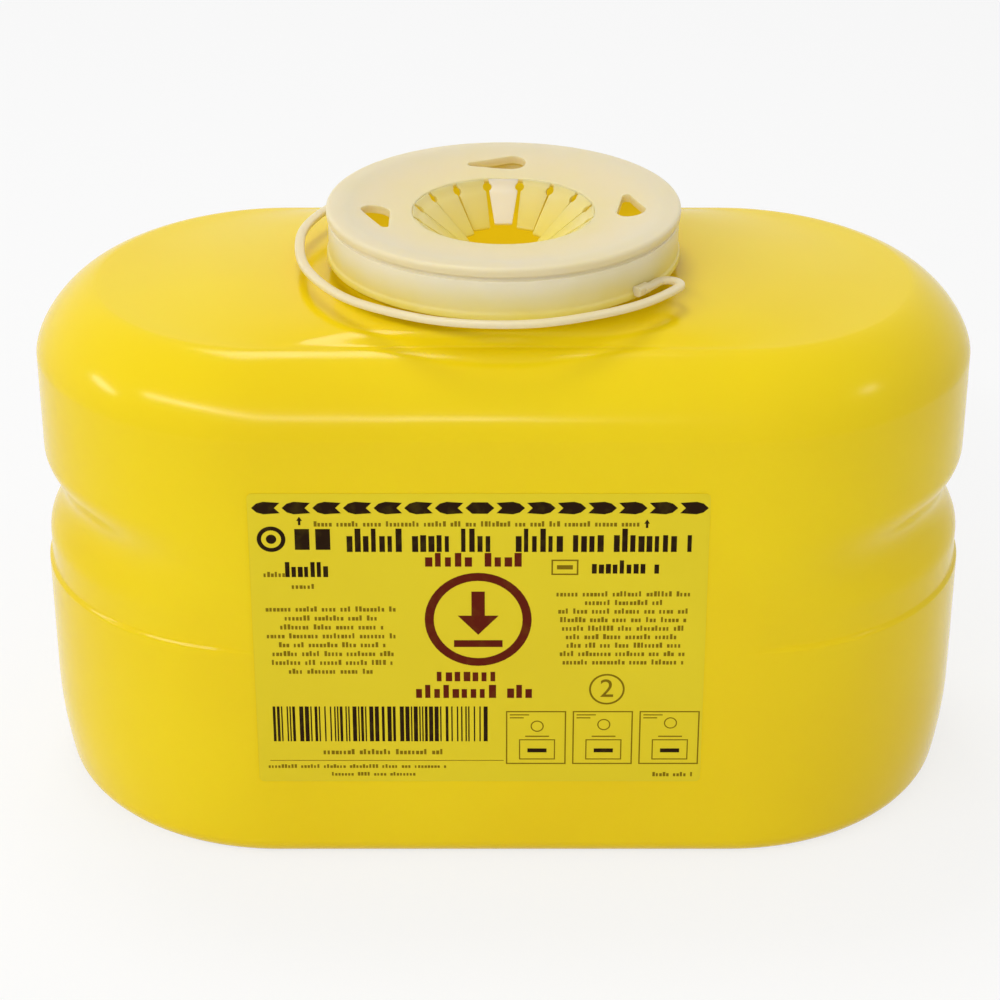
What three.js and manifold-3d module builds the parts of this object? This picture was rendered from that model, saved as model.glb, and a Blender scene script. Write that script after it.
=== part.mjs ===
// A bench-top sharps container of about 3 litres, in millimetres, +Z up.
// The origin is the centre of the underside, the container is widest along X and its front faces -Y.
// A blow-moulded oval body carries a push-fit funnel cap. Sixteen sprung fingers close the funnel,
// and a long tether holds a closure lid, which hangs down behind the body until the container is full.
import * as THREE from "three";
import { mergeVertices } from "three/addons/utils/BufferGeometryUtils.js";
import Module from "manifold-3d";

const wasm = await Module();
wasm.setup();

// Clearances
const SEAT_GAP = 0.3; // between pieces that rest against each other
const SNAP_GAP = 0.4; // round the neck, its bead and the plug ring of the cap
const LID_GAP = 0.9; // between the lid's skirt and the edge of the cap

// Body: straight front and back, half-round ends
const BODY_WIDTH = 250;
const BODY_DEPTH = 130;
const BODY_WALL = 1.8;
const BASE_THICKNESS = 3.2;
const FOOT_RADIUS = 5;
const END_TAPER = 3.5; // drawn in at the ends, at the foot
const END_TAPER_HEIGHT = 28;
const GROOVE_INSET = 12; // stiffening groove moulded round the underside
const GROOVE_WIDTH = 8;
const GROOVE_DEPTH = 1.2;
const LEDGE_HEIGHT = 62; // the lower body ends in a fine ledge
const LEDGE_STEP = 0.9;
const LEDGE_RISE = 2.5;
const WAIST_HEIGHT = 83.5; // the waist is drawn in round both ends
const WAIST_DEPTH = 4.4;
const WAIST_REACH = 13; // up and down from its deepest line
const WAIST_FULL_SWING = 35; // degrees from the end's middle, where the waist starts to fade
const WAIST_END_SWING = 87;
const SIDE_HEIGHT = 122.5;
const SHOULDER_RISE = 18;
const SHOULDER_FULLNESS = 1.5; // 2 is an ellipse, 1 a chamfer
const CROWN_RISE = 3.5;
const CROWN_LEDGE = 3; // between the shoulder and the neck's root, at the front and the back

// Neck
const NECK_RADIUS = 42.4;
const NECK_WALL = 2;
const NECK_HEIGHT = 14.4; // above the crown
const NECK_FILLET = 2.6;
const BEAD_OUT = 1.1;
const BEAD_HEIGHT = 3;
const BEAD_DROP = 6.5; // from the neck's rim to the middle of the bead

// Funnel cap
const DISC_OVERHANG = 0.5; // past the skirt
const DISC_THICKNESS = 2.2;
const DISC_EDGE = 2.4;
const DISC_ROUND = 0.8;
const DISH_DEPTH = 2.2;
const RIM_WIDTH = 4.5; // the flat rim round the dished part
const TRACK_DEPTH = 1; // the groove under the disc's edge
const TRACK_WIDTH = 1.2;
const SKIRT_WALL = 1.9;
const SKIRT_HEIGHT = 13.8; // from the top of the disc
const SKIRT_RIM = 0.5; // how far its lower rim stands out
const SKIRT_RIM_HEIGHT = 1.6;
const SNAP_RIB = 0.9;
const SNAP_RIB_FLAT = 0.5;
const PLUG_WALL = 1.2;
const PLUG_DEPTH = 5;
const PLUG_LEAD = 0.4; // the plug ring tapers in by this at its end
const PLUG_LEAD_HEIGHT = 1.5;
const EDGE_BREAK = 0.3; // on the free edges of the skirts

// Keyholes in the disc, where a needle is held while its syringe is turned off it
const KEYHOLE_ANGLES = [4.5, 95.5, 194];
const KEYHOLE_WIDE_RADIUS = 3.8;
const KEYHOLE_NARROW_RADIUS = 1.1;
const KEYHOLE_LENGTH = 11; // between the centres of its two ends

// Funnel fingers
const FINGER_COUNT = 16;
const FUNNEL_RADIUS = 23.5;
const FUNNEL_DEPTH = 10.6;
const THROAT_WIDTH = 19.2;
const THROAT_LENGTH = 29;
const THROAT_SQUARENESS = 4; // 2 is an ellipse, more is squarer
const SLIT_WIDTH = 1.2;
const RELIEF_RADIUS = 1.25; // the round hole that ends each slit
const RELIEF_INSET = 2.1;
const FINGER_THICKNESS = 1.3;
const HINGE_THICKNESS = 0.6;
const HINGE_LENGTH = 1.1;
const FINGER_TIP_ROUND = 0.4;
const LIP_UNDERCUT = 1.6; // lets the fingers fold down
const PROUD_FINGER = 4; // counted from +X; the rear one has set a little higher in use
const PROUD_LIFT = 4; // degrees

// Tether strap
const STRAP_CLEARANCE = 6; // between the strap and the skirt's rim
const STRAP_WIDTH = 2.6;
const STRAP_THICKNESS = 1.8;
const STRAP_CORNER = 0.55;
const STRAP_RISE = 2.2; // its middle above the skirt's lower edge
const STRAP_ROOT_ANGLE = -42;
const STRAP_BEND_ANGLE = -34.5;
const STRAP_END_ANGLE = -267;
const STRAP_FOOT_LENGTH = 4; // the thicker end that is joined to the skirt
const STRAP_FOOT_HEIGHT = 2.5;
const FOLD_TAB_WIDTH = 10;
const FOLD_TAB_THICKNESS = 1.4;
const FOLD_AXIS_OUT = 3.4; // the first fold lies this far outside the strap's middle
const KNUCKLE_RADIUS = 1;
const LINK_DROP = 9.1; // from the first fold down to the second

// Closure lid, given as it lies when closed
const LID_PLATE = 1.5;
const LID_SEAT_GAP = 0.4; // over the rim of the disc
const LID_SKIRT_WALL = 2;
const LID_SKIRT_DEPTH = 5.3; // from the top of the lid
const LID_ROUND = 0.7;
const SEAL_FROM_LIP = 2.9; // the sealing ring goes round the funnel's mouth
const SEAL_WALL = 1.4;
const SEAL_CLEARANCE = 0.5;
const LIFT_TAB_WIDTH = 22;
const LIFT_TAB_LENGTH = 5;
const LIFT_TAB_CORNER = 3;

// Front label
const LABEL_WIDTH = 115.5;
const LABEL_HEIGHT = 84.8;
const LABEL_CENTRE_X = -6.2;
const LABEL_BOTTOM = 23.8;
const LABEL_THICKNESS = 0.3;
const LABEL_CORNER = 1.5;

// Steps of the curved surfaces
const END_STEPS = 16;
const FLAT_STEPS = 6;
const TAPER_STEPS = 3;
const WAIST_STEPS = 8;
const SHOULDER_STEPS = 7;
const CROWN_STEPS = 4;
const FILLET_STEPS = 3;
const BEAD_STEPS = 4;
const TURN_STEPS = 56;
const DISH_STEPS = 3;
const KEYHOLE_STEPS = 8;
const CORNER_STEPS = 4;
const STRAP_STEPS = 60;
const STRAP_ROUTE_POINTS = 20;
const BEND_ROUTE_POINTS = 6;

// Levels and radii that follow from the sizes above
const endRadius = BODY_DEPTH / 2;
const flatHalf = (BODY_WIDTH - BODY_DEPTH) / 2;
const shoulderTop = SIDE_HEIGHT + SHOULDER_RISE;
const crownTop = shoulderTop + CROWN_RISE;
const neckTop = crownTop + NECK_HEIGHT;
const neckRootRadius = NECK_RADIUS + NECK_FILLET;
const shoulderReach = endRadius - neckRootRadius - CROWN_LEDGE;
const neckBore = NECK_RADIUS - NECK_WALL;
const beadMiddle = neckTop - BEAD_DROP;
const discUnder = neckTop + SEAT_GAP; // where the disc rests on the neck
const discTop = discUnder + DISC_THICKNESS;
const skirtInner = NECK_RADIUS + BEAD_OUT + SNAP_GAP;
const skirtOuter = skirtInner + SKIRT_WALL;
const skirtRim = skirtOuter + SKIRT_RIM;
const skirtBottom = discTop - SKIRT_HEIGHT;
const discRadius = skirtOuter + DISC_OVERHANG;
const dishEdge = discRadius - RIM_WIDTH;
const plugOuter = neckBore - SNAP_GAP;
const plugInner = plugOuter - PLUG_WALL;
const lipTop = discTop - DISH_DEPTH;
const hingeLevel = lipTop - HINGE_THICKNESS;
const lipRadius = FUNNEL_RADIUS + HINGE_THICKNESS / 2 + SEAT_GAP;
const keyholeRadius = (lipRadius + dishEdge) / 2;
const strapLevel = skirtBottom + STRAP_RISE;
const strapRadius = skirtRim + STRAP_CLEARANCE + STRAP_WIDTH / 2;
const foldY = strapRadius + FOLD_AXIS_OUT;
const sealRadius = lipRadius + SEAL_FROM_LIP;
const lidInner = discRadius + LID_GAP;
const lidOuter = lidInner + LID_SKIRT_WALL;
const lidUnder = discTop + LID_SEAT_GAP;
const lidTop = lidUnder + LID_PLATE;
// The lid hangs flat against the back of the body, which sets how far out the link reaches
const lidReach = endRadius + SEAT_GAP - foldY + lidTop - strapLevel;
const linkOut = (lidReach ** 2 - LINK_DROP ** 2) / (2 * lidReach);
const linkLength = lidReach - linkOut;

const yellow = plastic(0xf6d300, 0.38);
const natural = plastic(0xece3cd, 0.32);
const print = plastic(0xe0cd1e, 0.5);

function plastic(colour, roughness) {
  return new THREE.MeshStandardMaterial({ color: colour, roughness, metalness: 0 });
}

function radians(degrees) {
  return THREE.MathUtils.degToRad(degrees);
}

// A closed three.js geometry as a solid that can be joined and cut
function solid(geometry) {
  const bare = new THREE.BufferGeometry();
  bare.setAttribute("position", geometry.getAttribute("position"));
  if (geometry.index) bare.setIndex(geometry.index);
  const merged = mergeVertices(bare, 1e-4);
  return new wasm.Manifold(
    new wasm.Mesh({
      numProp: 3,
      vertProperties: new Float32Array(merged.attributes.position.array),
      triVerts: new Uint32Array(merged.index.array),
    }),
  );
}

function geometryOf(body) {
  const mesh = body.getMesh();
  const geometry = new THREE.BufferGeometry();
  geometry.setAttribute("position", new THREE.BufferAttribute(mesh.vertProperties, 3));
  geometry.setIndex(new THREE.BufferAttribute(mesh.triVerts, 1));
  geometry.computeVertexNormals();
  return geometry;
}

function piece(name, geometry, material) {
  const mesh = new THREE.Mesh(geometry, material.clone());
  mesh.name = name;
  return mesh;
}

// A profile of [radius, height] pairs turned round the Z axis
function turned(profile) {
  const points = profile.map(([r, z]) => new THREE.Vector2(r, z));
  return new THREE.LatheGeometry(points, TURN_STEPS).rotateX(Math.PI / 2);
}

// The body's outline as it goes round: a half-round end, then a flat, twice.
// Each station also has its angle on the round neck that the outline turns into.
function outlineStations() {
  const list = [];
  for (const side of [1, -1]) {
    for (let i = 0; i < END_STEPS; i++) {
      const swing = -90 + (180 * i) / END_STEPS;
      list.push({ side, swing, along: 1, neckAngle: (swing * 2) / 3 });
    }
    for (let i = 0; i < FLAT_STEPS; i++) {
      const t = i / FLAT_STEPS;
      list.push({ side, swing: 90, along: 1 - 2 * t, neckAngle: 60 + 60 * t });
    }
  }
  return list;
}

const stations = outlineStations();

function waistShare(swing) {
  return 1 - THREE.MathUtils.smoothstep(Math.abs(swing), WAIST_FULL_SWING, WAIST_END_SWING);
}

// How far the ends are drawn in at a height: the taper at the foot, the ledge and the waist
function endInset(z, swing) {
  const foot = Math.max(0, 1 - z / END_TAPER_HEIGHT);
  const taper = END_TAPER * foot * foot * Math.cos(radians(swing)) ** 2;
  const ledge = LEDGE_STEP * THREE.MathUtils.smoothstep(z, LEDGE_HEIGHT, LEDGE_HEIGHT + LEDGE_RISE);
  const rise = THREE.MathUtils.clamp((z - WAIST_HEIGHT) / WAIST_REACH, -1, 1);
  const waist = WAIST_DEPTH * Math.cos((rise * Math.PI) / 2) ** 2;
  return taper + (ledge + waist) * waistShare(swing);
}

// One ring of the body. shapeAt is the height whose end shape it takes.
// Rings from the shoulder up turn from the oval to a circle of the given radius as round goes to 1.
function bodyRing(z, inset, { shapeAt = z, round = 0, radius = 0 } = {}) {
  return stations.map(({ side, swing, along, neckAngle }) => {
    const ovalRadius = endRadius - inset - endInset(shapeAt, swing);
    const oval = new THREE.Vector2(
      flatHalf * along + ovalRadius * Math.cos(radians(swing)),
      ovalRadius * Math.sin(radians(swing)),
    );
    const circle = new THREE.Vector2(
      radius * Math.cos(radians(neckAngle)),
      radius * Math.sin(radians(neckAngle)),
    );
    const at = oval.lerp(circle, round).multiplyScalar(side);
    return new THREE.Vector3(at.x, at.y, z);
  });
}

// A closed skin over rings that have the same number of points, from the first ring's middle
// over all the rings to the last ring's middle
function skin(rings) {
  const count = rings[0].length;
  const middle = (ring) => new THREE.Vector3(0, 0, ring[0].z);
  const points = [...rings.flat(), middle(rings[0]), middle(rings.at(-1))];
  const first = points.length - 2;
  const last = points.length - 1;
  const lastRing = (rings.length - 1) * count;
  const faces = [];
  for (let i = 0; i < count; i++) {
    const next = (i + 1) % count;
    faces.push(first, next, i);
    for (let r = 0; r + 1 < rings.length; r++) {
      const low = r * count;
      const high = low + count;
      faces.push(low + i, low + next, high + next);
      faces.push(low + i, high + next, high + i);
    }
    faces.push(last, lastRing + i, lastRing + next);
  }
  const geometry = new THREE.BufferGeometry().setFromPoints(points);
  geometry.setIndex(faces);
  geometry.computeVertexNormals();
  return geometry;
}

// Steps from 0 to 1 inclusive
function steps(count) {
  return Array.from({ length: count + 1 }, (_, i) => i / count);
}

// The shoulder, from the side to the crown, offset inwards by a wall
function shoulderRings(wall, count) {
  return steps(count).map((t) => {
    const turn = (t * Math.PI) / 2;
    const power = 2 / SHOULDER_FULLNESS;
    const inset = shoulderReach * (1 - Math.max(0, Math.cos(turn)) ** power);
    const z = SIDE_HEIGHT + SHOULDER_RISE * Math.sin(turn) ** power;
    return bodyRing(z - wall * t, inset + wall, { shapeAt: SIDE_HEIGHT });
  });
}

// The crown, from the shoulder's oval to a circle round the neck
function crownRings(wall, radius, count) {
  return steps(count).slice(1).map((t) => {
    const z = shoulderTop + CROWN_RISE * THREE.MathUtils.smoothstep(t, 0, 1);
    return bodyRing(z - wall, shoulderReach + wall, { shapeAt: SIDE_HEIGHT, round: t, radius });
  });
}

function circleRing(radius, z) {
  return bodyRing(z, 0, { round: 1, radius });
}

function waistHeights(count) {
  return steps(count).map((t) => WAIST_HEIGHT + WAIST_REACH * (2 * t - 1));
}

// The blown shell, from the groove in its underside up the outside to the neck and down the inside
function containerBody() {
  const groove = [
    bodyRing(0, GROOVE_INSET + GROOVE_WIDTH + GROOVE_DEPTH, { shapeAt: 0 }),
    bodyRing(GROOVE_DEPTH, GROOVE_INSET + GROOVE_WIDTH, { shapeAt: 0 }),
    bodyRing(GROOVE_DEPTH, GROOVE_INSET, { shapeAt: 0 }),
    bodyRing(0, GROOVE_INSET - GROOVE_DEPTH, { shapeAt: 0 }),
  ];
  const foot = steps(FILLET_STEPS).map((t) => {
    const turn = (t * Math.PI) / 2;
    const inset = FOOT_RADIUS * (1 - Math.sin(turn));
    return bodyRing(FOOT_RADIUS * (1 - Math.cos(turn)), inset);
  });
  const taper = steps(TAPER_STEPS).slice(1).map((t) => {
    return bodyRing(THREE.MathUtils.lerp(FOOT_RADIUS, END_TAPER_HEIGHT, t), 0);
  });
  const ledge = [LEDGE_HEIGHT, LEDGE_HEIGHT + LEDGE_RISE].map((z) => bodyRing(z, 0));
  const waist = waistHeights(WAIST_STEPS).map((z) => bodyRing(z, 0));
  const root = steps(FILLET_STEPS).slice(1).map((t) => {
    const turn = (t * Math.PI) / 2;
    const radius = neckRootRadius - NECK_FILLET * Math.sin(turn);
    return circleRing(radius, crownTop + NECK_FILLET * (1 - Math.cos(turn)));
  });
  const bead = steps(BEAD_STEPS).map((t) => {
    const out = BEAD_OUT * Math.sin(t * Math.PI);
    return circleRing(NECK_RADIUS + out, beadMiddle + BEAD_HEIGHT * (t - 0.5));
  });
  const rimRound = NECK_WALL / 4;
  const rim = [
    circleRing(NECK_RADIUS, neckTop - rimRound),
    circleRing(NECK_RADIUS - rimRound, neckTop),
    circleRing(neckBore + rimRound, neckTop),
    circleRing(neckBore, neckTop - rimRound),
  ];
  const inside = [
    circleRing(neckBore, crownTop - BODY_WALL),
    ...crownRings(BODY_WALL, neckBore + BODY_WALL, CROWN_STEPS - 1).slice(0, -1).reverse(),
    ...shoulderRings(BODY_WALL, SHOULDER_STEPS - 2).reverse(),
    ...waistHeights(WAIST_STEPS - 2).map((z) => bodyRing(z, BODY_WALL)).reverse(),
    bodyRing(LEDGE_HEIGHT, BODY_WALL),
    bodyRing(END_TAPER_HEIGHT, BODY_WALL),
    ...steps(FILLET_STEPS - 1).map((t) => {
      const turn = (t * Math.PI) / 2;
      const z = BASE_THICKNESS + FOOT_RADIUS * (1 - Math.sin(turn));
      return bodyRing(z, BODY_WALL + FOOT_RADIUS * (1 - Math.cos(turn)));
    }),
  ];
  const outside = [
    ...groove,
    ...foot,
    ...taper,
    ...ledge,
    ...waist,
    ...shoulderRings(0, SHOULDER_STEPS),
    ...crownRings(0, neckRootRadius, CROWN_STEPS),
    ...root,
    ...bead,
    ...rim,
  ];
  return piece("container_body", skin([...outside, ...inside]), yellow);
}

// A keyhole through the disc: a drop whose narrow end lies counter-clockwise of its wide end
function keyholeCutter(angle) {
  const lean = Math.asin((KEYHOLE_WIDE_RADIUS - KEYHOLE_NARROW_RADIUS) / KEYHOLE_LENGTH);
  const half = KEYHOLE_LENGTH / 2;
  const drop = new THREE.Shape();
  drop.absarc(0, -half, KEYHOLE_WIDE_RADIUS, Math.PI - lean, lean, false);
  drop.absarc(0, half, KEYHOLE_NARROW_RADIUS, lean, Math.PI - lean, false);
  const cutter = new THREE.ExtrudeGeometry(drop, {
    depth: SKIRT_HEIGHT,
    bevelEnabled: false,
    curveSegments: KEYHOLE_STEPS,
  });
  cutter.translate(keyholeRadius, 0, discTop - SKIRT_HEIGHT / 2);
  cutter.rotateZ(radians(angle));
  return solid(cutter);
}

// How far the dished part of the disc lies below its rim, at a radius
function dishDrop(radius) {
  const share = THREE.MathUtils.clamp((dishEdge - radius) / (dishEdge - lipRadius), 0, 1);
  return DISH_DEPTH * Math.sin((share * Math.PI) / 2);
}

function funnelCap() {
  const track = discTop - DISC_EDGE;
  const ribTop = beadMiddle - BEAD_HEIGHT / 2 - SNAP_GAP;
  const lipUnder = discUnder - dishDrop(lipRadius);
  const dish = steps(DISH_STEPS).map((t) => {
    const radius = THREE.MathUtils.lerp(dishEdge, lipRadius + DISC_ROUND, t);
    return [radius, discTop - dishDrop(radius)];
  });
  const profile = [
    [lipRadius + LIP_UNDERCUT, lipUnder],
    [keyholeRadius, discUnder - dishDrop(keyholeRadius)],
    [plugInner, discUnder - dishDrop(plugInner)],
    [plugInner, discUnder - PLUG_DEPTH],
    [plugOuter - PLUG_LEAD, discUnder - PLUG_DEPTH],
    [plugOuter, discUnder - PLUG_DEPTH + PLUG_LEAD_HEIGHT],
    [plugOuter, discUnder],
    [skirtInner, discUnder],
    [skirtInner, ribTop],
    [skirtInner - SNAP_RIB, ribTop - SNAP_RIB],
    [skirtInner - SNAP_RIB, ribTop - SNAP_RIB - SNAP_RIB_FLAT],
    [skirtInner, skirtBottom],
    [skirtRim - EDGE_BREAK, skirtBottom],
    [skirtRim, skirtBottom + EDGE_BREAK],
    [skirtRim, skirtBottom + SKIRT_RIM_HEIGHT],
    [skirtOuter, skirtBottom + SKIRT_RIM_HEIGHT + SKIRT_RIM],
    [skirtOuter, track - TRACK_WIDTH],
    [discRadius - TRACK_DEPTH, track - TRACK_WIDTH],
    [discRadius - TRACK_DEPTH, track],
    [discRadius, track],
    [discRadius, discTop - DISC_ROUND],
    [discRadius - DISC_ROUND, discTop],
    ...dish,
    [lipRadius, lipTop - DISC_ROUND / 2],
    [lipRadius, hingeLevel - HINGE_THICKNESS / 2],
    [lipRadius + LIP_UNDERCUT, lipUnder],
  ];
  const body = KEYHOLE_ANGLES.reduce(
    (made, angle) => made.subtract(keyholeCutter(angle)),
    solid(turned(profile)),
  );
  return piece("funnel_cap", geometryOf(body), natural);
}

// Half the throat's size in a direction, for a throat between an ellipse and a rectangle
function throatReach(angle) {
  const across = Math.abs(Math.cos(angle)) / (THROAT_WIDTH / 2);
  const along = Math.abs(Math.sin(angle)) / (THROAT_LENGTH / 2);
  return (across ** THROAT_SQUARENESS + along ** THROAT_SQUARENESS) ** (-1 / THROAT_SQUARENESS);
}

// One finger lies along X from its hinge, which is on the Y axis, and points to -X.
// Its plan is cut out of its side view, so that the slits and the relief holes go straight through.
// The thin hinge ends in a half round about the axis, so it clears the lip at every angle.
function fingerSolid(reach, tilt) {
  const length = (FUNNEL_RADIUS - reach) / Math.cos(tilt);
  const halfPitch = Math.tan(Math.PI / FINGER_COUNT);
  const edge = (u) => (FUNNEL_RADIUS - u * Math.cos(tilt)) * halfPitch - SLIT_WIDTH / 2;
  const reliefEdge = edge(RELIEF_INSET) + SLIT_WIDTH / 2;
  const dip = Math.asin(SLIT_WIDTH / 2 / RELIEF_RADIUS);
  const plan = new THREE.Shape();
  const rootEnd = -HINGE_THICKNESS / 2;
  plan.moveTo(rootEnd, -edge(0));
  plan.absarc(RELIEF_INSET, -reliefEdge, RELIEF_RADIUS, Math.PI - dip, dip, true);
  plan.lineTo(length, -edge(length));
  plan.lineTo(length, edge(length));
  plan.absarc(RELIEF_INSET, reliefEdge, RELIEF_RADIUS, -dip, dip - Math.PI, true);
  plan.lineTo(rootEnd, edge(0));
  const slab = new THREE.ExtrudeGeometry(plan, {
    depth: 4 * FINGER_THICKNESS,
    bevelEnabled: false,
    curveSegments: CORNER_STEPS,
  });
  slab.translate(0, 0, -2 * FINGER_THICKNESS);

  const top = HINGE_THICKNESS / 2;
  const under = top - FINGER_THICKNESS;
  const side = new THREE.Shape();
  side.absarc(0, 0, top, Math.PI / 2, 1.5 * Math.PI, false);
  side.lineTo(HINGE_LENGTH, -top);
  side.lineTo(HINGE_LENGTH * 2, under);
  side.lineTo(length - FINGER_TIP_ROUND, under);
  side.lineTo(length, under + FINGER_TIP_ROUND);
  side.lineTo(length, top - FINGER_TIP_ROUND);
  side.lineTo(length - FINGER_TIP_ROUND, top);
  const bar = new THREE.ExtrudeGeometry(side, {
    depth: FUNNEL_RADIUS,
    bevelEnabled: false,
    curveSegments: CORNER_STEPS,
  });
  bar.rotateX(Math.PI / 2);
  bar.translate(0, FUNNEL_RADIUS / 2, 0);
  const finger = geometryOf(solid(slab).intersect(solid(bar)));
  finger.rotateZ(Math.PI);
  return finger;
}

function funnelFingers() {
  return Array.from({ length: FINGER_COUNT }, (_, i) => {
    const angle = (i * 2 * Math.PI) / FINGER_COUNT;
    const reach = throatReach(angle);
    const lift = i === PROUD_FINGER ? radians(PROUD_LIFT) : 0;
    const tilt = Math.atan2(FUNNEL_DEPTH, FUNNEL_RADIUS - reach) - lift;
    const name = "funnel_finger_" + String(i + 1).padStart(2, "0");
    const finger = piece(name, fingerSolid(reach, tilt), natural);
    finger.position.set(FUNNEL_RADIUS, 0, hingeLevel);
    finger.rotation.y = -tilt;
    const turn = new THREE.Group();
    turn.rotation.z = angle;
    turn.add(finger);
    return turn;
  });
}

// A flat strap section with its corners cut, and a bar of that section along a path
function strapAlong(path, count) {
  const x = STRAP_THICKNESS / 2;
  const y = STRAP_WIDTH / 2;
  const section = new THREE.Shape([
    new THREE.Vector2(x, -y + STRAP_CORNER),
    new THREE.Vector2(x, y - STRAP_CORNER),
    new THREE.Vector2(x - STRAP_CORNER, y),
    new THREE.Vector2(-x + STRAP_CORNER, y),
    new THREE.Vector2(-x, y - STRAP_CORNER),
    new THREE.Vector2(-x, -y + STRAP_CORNER),
    new THREE.Vector2(-x + STRAP_CORNER, -y),
    new THREE.Vector2(x - STRAP_CORNER, -y),
  ]);
  return solid(new THREE.ExtrudeGeometry(section, { steps: count, extrudePath: path }));
}

function polar(radius, degrees, z) {
  const angle = radians(degrees);
  return new THREE.Vector3(radius * Math.cos(angle), radius * Math.sin(angle), z);
}

// The strap leaves the skirt, doubles back in a tight bend, and runs round the front and the left
// side of the cap to its fold behind it
function strapPath() {
  const foot = skirtRim + SEAT_GAP + STRAP_WIDTH / 2;
  const bendRadius = (strapRadius - foot) / 2;
  const bendCentre = polar(foot + bendRadius, STRAP_BEND_ANGLE, strapLevel);
  const out = radians(STRAP_BEND_ANGLE);
  const points = [
    polar(foot, STRAP_ROOT_ANGLE, strapLevel),
    polar(foot, (STRAP_ROOT_ANGLE + STRAP_BEND_ANGLE) / 2, strapLevel),
  ];
  for (const t of steps(BEND_ROUTE_POINTS)) {
    const turn = out + Math.PI - Math.PI * t;
    const at = new THREE.Vector3(Math.cos(turn), Math.sin(turn), 0);
    points.push(bendCentre.clone().addScaledVector(at, bendRadius));
  }
  const arc = STRAP_END_ANGLE - STRAP_BEND_ANGLE;
  for (const t of steps(STRAP_ROUTE_POINTS).slice(1)) {
    points.push(polar(strapRadius, STRAP_BEND_ANGLE + arc * t, strapLevel));
  }
  return new THREE.CatmullRomCurve3(points, false, "centripetal");
}

// A bar along X with a round section, and a flat plate along X
function crossBar(radius, width, y, z) {
  const bar = new THREE.CylinderGeometry(radius, radius, width, 4 * CORNER_STEPS);
  bar.rotateZ(Math.PI / 2);
  return solid(bar.translate(0, y, z));
}

function crossPlate(width, thickness, nearY, farY, z) {
  const plate = new THREE.BoxGeometry(width, farY - nearY, thickness);
  return solid(plate.translate(0, (nearY + farY) / 2, z));
}

function tetherStrap() {
  const foot = new THREE.BoxGeometry(STRAP_WIDTH, STRAP_FOOT_LENGTH, STRAP_FOOT_HEIGHT);
  foot.translate(skirtRim + SEAT_GAP + STRAP_WIDTH / 2, 0, strapLevel);
  foot.rotateZ(radians(STRAP_ROOT_ANGLE));
  const near = strapRadius - STRAP_WIDTH / 2;
  const strap = strapAlong(strapPath(), STRAP_STEPS)
    .add(solid(foot))
    .add(crossPlate(FOLD_TAB_WIDTH, FOLD_TAB_THICKNESS, near, foldY, strapLevel))
    .add(crossBar(KNUCKLE_RADIUS, FOLD_TAB_WIDTH, foldY, strapLevel));
  return piece("tether_strap", geometryOf(strap), natural);
}

// The short link between the strap's two folds. It is made lying back along +Y from the first fold.
function tetherLink() {
  const start = KNUCKLE_RADIUS + SEAT_GAP;
  const link = crossPlate(FOLD_TAB_WIDTH, FOLD_TAB_THICKNESS, start, linkLength, 0)
    .add(crossBar(KNUCKLE_RADIUS, FOLD_TAB_WIDTH, linkLength, 0));
  const made = piece("tether_link", geometryOf(link), natural);
  made.position.set(0, foldY, strapLevel);
  made.rotation.x = -Math.atan2(LINK_DROP, linkOut);
  return made;
}

// A plate with round corners, of a width along X and a length along Y, that lies from z = 0 up
function roundedPlate(width, length, corner, thickness) {
  const x = width / 2 - corner;
  const y = length / 2 - corner;
  const shape = new THREE.Shape();
  shape.absarc(x, -y, corner, -Math.PI / 2, 0, false);
  shape.absarc(x, y, corner, 0, Math.PI / 2, false);
  shape.absarc(-x, y, corner, Math.PI / 2, Math.PI, false);
  shape.absarc(-x, -y, corner, Math.PI, 1.5 * Math.PI, false);
  return new THREE.ExtrudeGeometry(shape, {
    depth: thickness,
    bevelEnabled: false,
    curveSegments: CORNER_STEPS,
  });
}

// The lid is made as it lies on the cap, with its tab's fold as its origin, and hangs from there
function closureLid() {
  const foldAbove = strapLevel + linkLength;
  const sealBottom = discTop - dishDrop(sealRadius) + SEAL_CLEARANCE;
  const skirtEnd = lidTop - LID_SKIRT_DEPTH;
  const profile = [
    [0, lidUnder],
    [sealRadius - SEAL_WALL, lidUnder],
    [sealRadius - SEAL_WALL, sealBottom],
    [sealRadius, sealBottom],
    [sealRadius, lidUnder],
    [lidInner, lidUnder],
    [lidInner, skirtEnd],
    [lidOuter - EDGE_BREAK, skirtEnd],
    [lidOuter, skirtEnd + EDGE_BREAK],
    [lidOuter, lidTop - LID_ROUND],
    [lidOuter - LID_ROUND, lidTop],
    [0, lidTop],
  ];
  const tabLevel = lidTop - FOLD_TAB_THICKNESS / 2;
  const tabNear = lidOuter - LID_SKIRT_WALL / 2;
  const tabFar = foldY - KNUCKLE_RADIUS - SEAT_GAP;
  const liftNear = Math.sqrt(tabNear ** 2 - (LIFT_TAB_WIDTH / 2) ** 2) - LIFT_TAB_CORNER;
  const liftFar = lidOuter + LIFT_TAB_LENGTH;
  const lift = roundedPlate(LIFT_TAB_WIDTH, liftFar - liftNear, LIFT_TAB_CORNER, FOLD_TAB_THICKNESS);
  lift.translate(0, -(liftNear + liftFar) / 2, lidTop - FOLD_TAB_THICKNESS);
  const lid = solid(turned(profile))
    .add(crossPlate(FOLD_TAB_WIDTH, FOLD_TAB_THICKNESS, tabNear, tabFar, tabLevel))
    .add(solid(lift));
  const geometry = geometryOf(lid).translate(0, -foldY, -foldAbove);
  const made = piece("closure_lid", geometry, natural);
  made.position.set(0, foldY + linkOut, strapLevel - LINK_DROP);
  made.rotation.x = Math.PI / 2;
  return made;
}

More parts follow.
